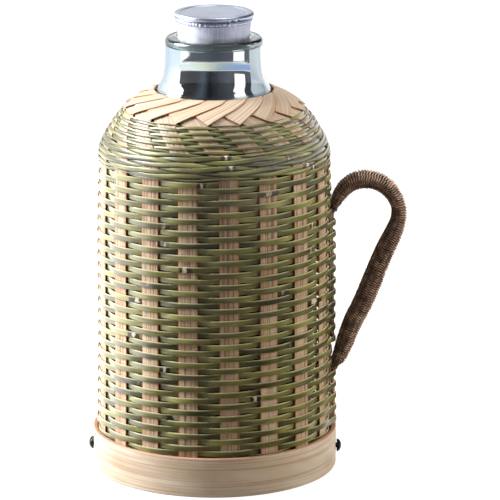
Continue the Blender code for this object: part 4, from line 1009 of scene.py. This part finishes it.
# radius of the wound handle at the points of its line that lie outside the weave
WOUND = np.array([3.2, 4.8, 5.8, 6.3, 6.5, 6.2, 5.6, 5.2, 5.4, 6.3, 6.7, 6.8, 7.1, 7.1, 6.8, 6.3,
                  5.3, 4.2, 2.8]) * MM
wound_along = handle_along[SPAN_STEPS * 5:SPAN_STEPS * 23 + 1:SPAN_STEPS]


def rod_radius(along):
    """1.3 mm in the tails.  The wound handle has the radii above, within its room beside the weave,
    x - (case radius + 0.3 mm), and the rod is what the twine leaves of it."""
    place = on_handle(along)[0]
    wall = np.interp(place[..., 2], CASE_LINE[:SPAN_STEPS * 4, 1], CASE_LINE[:SPAN_STEPS * 4, 0])
    room = np.maximum(place[..., 0] - wall - 0.3 * MM, 2.9 * MM)
    outside = (along > UPPER_LEAVES - 4 * MM) & (along < LOWER_LEAVES + 4 * MM)
    wound = np.minimum(room, np.interp(along, wound_along, WOUND)) * outside
    return np.maximum(wound - 2 * (PLY + TWIST), 1.3 * MM)


def sleeve(name, along, run, thicker, map_step, **attributes):
    """A skin around the handle, outside the rod by thicker, with its map's lengths in mm."""
    place, angle = np.meshgrid(along, circle(16), indexing="ij")
    grid = about_handle(place, angle, rod_radius(place) + thicker)
    return surface(name, grid, uv=uv_of(np.arange(17) * map_step, run[:, None]), **attributes)


rod_along = np.linspace(0, handle_along[-1], 260)
rod = sleeve("bent_rod", rod_along, rod_along / MM, 0, 1.6, edge=0.0)
dress(rod, hoop_wood, "handle_bamboo", "flask", "handle_core")

turns = int((WOUND_TO - WOUND_FROM) / TWINE_PITCH)
steps = np.arange(turns * TURN_STEPS + 1) / TURN_STEPS
rng = np.random.default_rng(220)
unevenness = np.interp(steps, np.arange(0, turns + 2, 0.5), rng.normal(0, 1, 2 * turns + 4))
twine_along = WOUND_FROM + (WOUND_TO - WOUND_FROM) * steps / turns + 0.10 * MM * unevenness
twine_radius = rod_radius(twine_along) + PLY + TWIST + 0.06 * MM * np.roll(unevenness, 57)
twine_middle = about_handle(twine_along, steps * math.tau, twine_radius)
twine_out = unit(about_handle(twine_along, steps * math.tau, twine_radius + MM) - twine_middle)
twine_run = lengths(twine_middle)
twine_ahead = np.gradient(twine_middle, twine_run, axis=0)
twine_side = np.cross(twine_ahead, twine_out)
# the side that faces up and outwards is painted paler: painted light from above and the right
painted_light_side = 0.55 * (twine_out @ np.array([0.70, 0.10, 0.70]))[:, None]
# jute: dull brown bast fibres, painted light on the crests of the plies and painted shade in the
# grooves
jute, tree, shader = new_material("jute, two-ply twine", Roughness=0.82, Sheen_Weight=0.25,
                                  Sheen_Roughness=0.4)
place = add(tree, "TexCoord", out="Object")
fibres = add(tree, "TexNoise", stretched(tree, 4.0, 0.5, 3))
crest = add(tree, "Attribute", out="Fac", attribute_name="crest")
patch = add(tree, "TexNoise", {"Vector": place, "Scale": 160, "Detail": 3})
both = add(tree, "Math", {0: fibres, 1: patch}, operation="ADD")
shade = add(tree, "MapRange", {0: both, 1: 0.75, 2: 1.3, 3: -0.15, 4: 0.45}, clamp=False)
shade = add(tree, "Math", {0: crest, 1: 0.75, 2: shade}, operation="MULTIPLY_ADD")
colour = add(tree, "ValToRGB", {0: shade}, stops=[
    (0.10, "#1a100b"), (0.48, "#a37764"), (0.95, "#ffe6d0")])
finish(tree, shader, colour, None, fibres, 0.0002)
for number in range(2):
    spin = steps * TWISTS * math.tau + number * math.pi
    ply_out = twine_out * np.cos(spin)[:, None] + twine_side * np.sin(spin)[:, None]
    ply_side = np.cross(twine_ahead, ply_out)
    ply_middle = twine_middle + ply_out * TWIST
    turn = circle(6)[:, None]
    grid = (ply_middle[:, None] + PLY * (ply_out[:, None] * np.cos(turn)
                                         + ply_side[:, None] * np.sin(turn)))
    crest = np.einsum("ijk,ik->ij", grid - twine_middle[:, None], twine_out) / (PLY + TWIST)
    ply = surface(f"twine_ply_{number + 1}", grid, crest=np.clip(crest, 0, 1) + painted_light_side,
                  uv=uv_of(np.arange(7) * 0.5, twine_run[:, None] / MM))
    dress(ply, jute, "twine", "flask", *(["handle_winding"] if number == 0 else []))
# a first layer of the same twine closes the gaps that open on the outside of the bends
bed_along = np.linspace(WOUND_FROM, WOUND_TO, 500)
# its low crest gives the bed the dark painted shade of the grooves
bed = sleeve("twine_bed", bed_along, np.arange(500) * 0.5, PLY, 2.0, crest=0.1)
dress(bed, jute, "twine", "flask")
print("twine: %d turns, %.1f m" % (turns, twine_run[-1]))

# %% [markdown]
# ## Fuzz on the twine
# Jute is hairy: thousands of short fibre ends stand off the twine and soften its outline.  Each is
# a bent three-sided spike of a few faces.  Roots, directions and lengths are drawn from a seeded
# random generator, and all spikes go into one mesh.

# %% Fuzz
FIBRES = 5200
FIBRE = 0.045 * MM               # radius at the root
rng = np.random.default_rng(41)
along = rng.uniform(WOUND_FROM, WOUND_TO, FIBRES)
angle = rng.uniform(0, math.tau, FIBRES)
root_radius = rod_radius(along) + 2 * PLY + TWIST
root = about_handle(along, angle, root_radius)
out = unit(about_handle(along, angle, root_radius + MM) - root)
ahead = on_handle(along)[1]
aside = np.cross(ahead, out)
lean = rng.normal(0, 0.7, (2, FIBRES, 1))
sideways = lean[0] + np.where(rng.random((FIBRES, 1)) < 0.5, 0.8, -0.8)
way = unit(out * 0.55 + aside * sideways + ahead * lean[1])
long = rng.uniform(0.8, 3.4, (FIBRES, 1)) * MM
middle = root + way * long * 0.5 + out * long * 0.08
tip = root + way * long - out * long * 0.10
turn = circle(3)[:, None]
spread = (aside[:, None] * np.cos(turn) + ahead[:, None] * np.sin(turn)) * FIBRE
points = np.concatenate([root[:, None] + spread, middle[:, None] + spread * 0.8, tip[:, None]],
                        axis=1)
faces = [(0, 1, 4), (0, 4, 3), (1, 2, 5), (1, 5, 4), (2, 0, 3), (2, 3, 5), (3, 4, 6), (4, 5, 6),
         (5, 3, 6), (2, 1, 0)]
faces = (np.arange(FIBRES)[:, None, None] * points.shape[1] + np.array(faces)).reshape(-1, 3)
mesh = bpy.data.meshes.new("twine_fuzz")
mesh.from_pydata(points.reshape(-1, 3).tolist(), [], faces.tolist())
mesh.uv_layers.new(name="UVMap")
outward(mesh)
fuzz = put("twine_fuzz", mesh)
# loose jute fibres: paler than the twine, because light passes through them
fibre_stuff, tree, shader = new_material("jute, loose fibres", Roughness=0.8)
place = add(tree, "TexCoord", out="Object")
tone = add(tree, "TexNoise", {"Vector": place, "Scale": 220, "Detail": 2})
finish(tree, shader, add(tree, "ValToRGB", {0: tone}, stops=[(0.3, "#8b6b55"), (0.7, "#d6bda4")]))
dress(fuzz, fibre_stuff, "twine", "flask")

# %% [markdown]
# ## Floor and background
# The floor is a plain pale sheet that shines faintly wherever it is shown, so that it blends into
# the background.  The background is white to the camera and in mirrors and glass, but only a soft
# fill for everything else: the kind of ray decides which of the two it meets.

# %% Floor and world
FLOOR_REACH, FLOOR_DOWN = 5, 0.0004                # metres; it lies just under the hoop
FLOOR_SHINE = 0.92
FILL = 0.019                     # share of the white background that lights the flask


def shown_share(tree):
    """1 for a ray that shows its target: from the camera, off a mirror or through glass."""
    rays = tree.nodes.new("ShaderNodeLightPath")
    share = add(tree, "Math", {0: rays.outputs["Is Camera Ray"], 1: rays.outputs["Is Glossy Ray"]},
                operation="MAXIMUM")
    return add(tree, "Math", {0: share, 1: rays.outputs["Is Transmission Ray"]}, operation="MAXIMUM")


floor_stuff, tree, shader = new_material("pale paper floor", Roughness=0.9, Base_Color="#8a8379",
                                         Emission_Color="#ffffff")
lift = add(tree, "Math", {0: shown_share(tree), 1: FLOOR_SHINE}, operation="MULTIPLY")
tree.links.new(lift, shader.inputs["Emission Strength"])
mesh = bpy.data.meshes.new("floor")
corners = [(x * FLOOR_REACH, y * FLOOR_REACH, -FLOOR_DOWN)
           for x, y in ((-1, -1), (1, -1), (1, 1), (-1, 1))]
mesh.from_pydata(corners, [], [(0, 1, 2, 3)])
mesh.materials.append(floor_stuff)
floor = put("floor", mesh)

world = bpy.data.worlds.new("studio")
bpy.context.scene.world = world
world.use_nodes = True
tree = world.node_tree
background = tree.nodes["Background"]
shown = shown_share(tree)
level = add(tree, "MapRange", {0: shown, 1: 0.0, 2: 1.0, 3: FILL, 4: 1.0})
warm = add(tree, "Mix", {0: shown, 6: "#fff0dc", 7: "#ffffff"}, **MIX)
tree.links.new(warm, background.inputs["Color"])
tree.links.new(level, background.inputs["Strength"])
bpy.context.scene.view_settings.view_transform = "Standard"
print("floor: %d m square" % (2 * FLOOR_REACH))

# %% [markdown]
# ## Lamps
# The key light is a large soft panel on the left, so the left side is nearly white and the weave's
# rows throw short shadows.  Weaker, slightly warm panels on the right and behind open the shadows,
# and a small one above lights the stopper's top.

# %% Lamps
AIM = 0.15                       # height in metres that the lamps are turned to


def panel(name, azimuth, elevation, distance, size, power):
    """A square area lamp at a direction and a distance from the flask, turned to its middle."""
    made = put(name, bpy.data.lights.new(name, "AREA"))
    made.data.size, made.data.energy = size, power
    azimuth, elevation = math.radians(azimuth), math.radians(elevation)
    flat = distance * math.cos(elevation)
    made.location = (flat * math.cos(azimuth), flat * math.sin(azimuth),
                     AIM + distance * math.sin(elevation))
    made.rotation_euler = (math.pi / 2 - elevation, 0, azimuth + math.pi / 2)
    return made


lamps = [panel("key_panel", 177, 33, 2.4, 1.4, 168), panel("window_panel", -3, 28, 2.6, 0.7, 44),
         panel("rear_panel", 26, 20, 2.6, 1.2, 16), panel("top_panel", 20, 74, 2.2, 1.0, 14)]
lamps[1].data.color = lamps[2].data.color = (1.0, 0.95, 0.87)
for lamp in lamps:               # through glass, the silver shows the boards only
    lamp.visible_transmission = False
for lamp in lamps[1:3]:
    lamp.visible_glossy = False
print("lamps:", ["%s %d W" % (lamp.name, lamp.data.energy) for lamp in lamps])

# %% [markdown]
# ## Boards for metal and glass
# A mirror shows what stands around it, so silver and aluminium need something light and something
# dark there.  Curved boards give it.  Each is seen only by rays off metal or only by rays through
# glass.  The camera never sees one, and it neither lights nor shades the rest of the flask.

# %% Boards
NECK = 0.27                      # height in metres from which their elevations are measured
BOARD_ROWS, BOARD_COLUMNS = 9, 25


def board_card(name, seen_in, start, end, low, high, reach, *tones, strength=1.0):
    """A curved board around the flask, seen only in "metal" or only through "glass".

    It spans two azimuths and two elevations in degrees, as seen from the neck, and start may be a
    pair, for a slanted edge from bottom to top.  Where an elevation looks below the horizon, the
    board lies just above the floor, and the nearer board on top.  tones run from left to right.
    """
    azimuth = np.radians(np.linspace(np.resize(start, 2), end, BOARD_COLUMNS)).T
    azimuth = azimuth[0] + (azimuth[1] - azimuth[0]) * np.linspace(0, 1, BOARD_ROWS)[:, None]
    elevation = np.radians(np.linspace(low, high, BOARD_ROWS))[:, None]
    on_floor = np.minimum(reach, NECK / np.tan(-np.minimum(elevation, -1e-3)))
    flat = np.where(elevation < 0, on_floor, reach * np.cos(elevation))
    height = np.where(elevation < 0, flat * np.tan(elevation), reach * np.sin(elevation))
    grid = around(flat, azimuth, np.maximum(NECK + height, (5 - reach) * MM))
    row, col = np.meshgrid(np.arange(BOARD_ROWS - 1), np.arange(BOARD_COLUMNS - 1), indexing="ij")
    faces = (row * BOARD_COLUMNS + col).reshape(-1, 1) + (0, 1, BOARD_COLUMNS + 1, BOARD_COLUMNS)
    mesh = bpy.data.meshes.new(name)
    mesh.from_pydata(grid.reshape(-1, 3).tolist(), [], faces.tolist())
    # painted black, and shining by itself in its tones
    stuff, tree, shader = new_material(name + " paint", Roughness=1.0, Base_Color="#000000",
                                       Emission_Strength=strength, Specular_IOR_Level=0.0)
    left_right = add(tree, "SeparateXYZ", {0: add(tree, "TexCoord", out="Object")})
    share = add(tree, "MapRange", {0: left_right, 1: -reach, 2: reach})
    stops = [((i + 0.5) / len(tones), tone) for i, tone in enumerate(tones)]
    stops = stops * (1 + (len(tones) < 2))           # a ramp has two stops or more
    tree.links.new(add(tree, "ValToRGB", {0: share}, stops=stops), shader.inputs["Emission Color"])
    mesh.materials.append(stuff)
    made = put(name, mesh)
    made.visible_camera = made.visible_diffuse = made.visible_shadow = False
    made.visible_glossy, made.visible_transmission = seen_in == "metal", seen_in == "glass"


board_card("dark room", "glass", -173, 9, -3.8, 80, 3.3, "#0d0c13", "#1d1f26", "#4a525e", "#101218",
           "#2d2f37", "#3a3a46", "#454951", "#282b32")
board_card("dark floor", "glass", (-134, -172), 9, -12, -8.4, 3.2, "#2c2e40", "#24272f", "#3a414a",
           "#4b505b", "#353840", "#343641", "#414952", "#555a66")
board_card("near floor", "glass", -134, 9, -80, -12, 3.2, "#9aa6a3", "#87938f")
board_card("table edge", "glass", -178, 9, -8.2, -4.2, 3.0, "#f0fbfd", "#e4e7d2", "#9db0b6",
           "#80a0d4")
board_card("window", "glass", -38, -10, -1.5, 40, 2.2, "#ffffff", strength=1.3)
board_card("window on table", "glass", -39, -9, -11.2, -8.6, 1.6, "#ffffff", strength=1.3)
board_card("white wall", "glass", 92, 187, -60, 85, 3.4, "#fafdff", "#e3edf8", "#d3e0f2", "#c6d6ec",
           *["#c0d2ea"] * 4, strength=1.3)
board_card("white floor", "glass", -175, -128, -13, -8.3, 3.4, "#ffffff", strength=1.3)
board_card("pale ceiling", "glass", -173, 9, 52, 88, 3.1, "#9aa6a3")
board_card("right wall", "glass", 8, 62, -60, 70, 3.1, *["#b0b8c5"] * 5, "#cbd4dc", "#adb5c1",
           "#c4cdd9")
board_card("grey room", "metal", -160, 0, -26, 80, 3.3, "#d4d2cc", "#8c8b88", "#5c5c5c", "#7a7a78",
           "#a8a59e", "#b8b4ac")
board_card("dark table", "metal", -160, 0, -78, -26.5, 3.2, "#6e6c66", "#2c2b28", "#161614",
           "#1f1e1c", "#4c4a46", "#605d58")
board_card("grey wall", "metal", 1, 70, -60, 70, 3.1, "#6f6a5f")
board_card("low wall", "metal", 70, 112, -60, 4, 3.1, "#6f6a5f")
board_card("bright table", "metal", 122, 207, -60, 10, 1.5, "#ffffff", strength=3.3)
# round the stopper, too high for the straight wall of the case to show them
board_card("stopper left", "metal", 95, 197, -18, 7, 0.22, "#f4f6fb")
board_card("stopper front", "metal", -163, 92, -18, 7, 0.22, "#f2f3fa", "#c8cad6", "#7a7c8e",
           "#9a9cab", "#d4d5e2", "#f2f3fc", strength=2.0)
print("boards:", sum(item.name.endswith("paint") for item in bpy.data.materials))
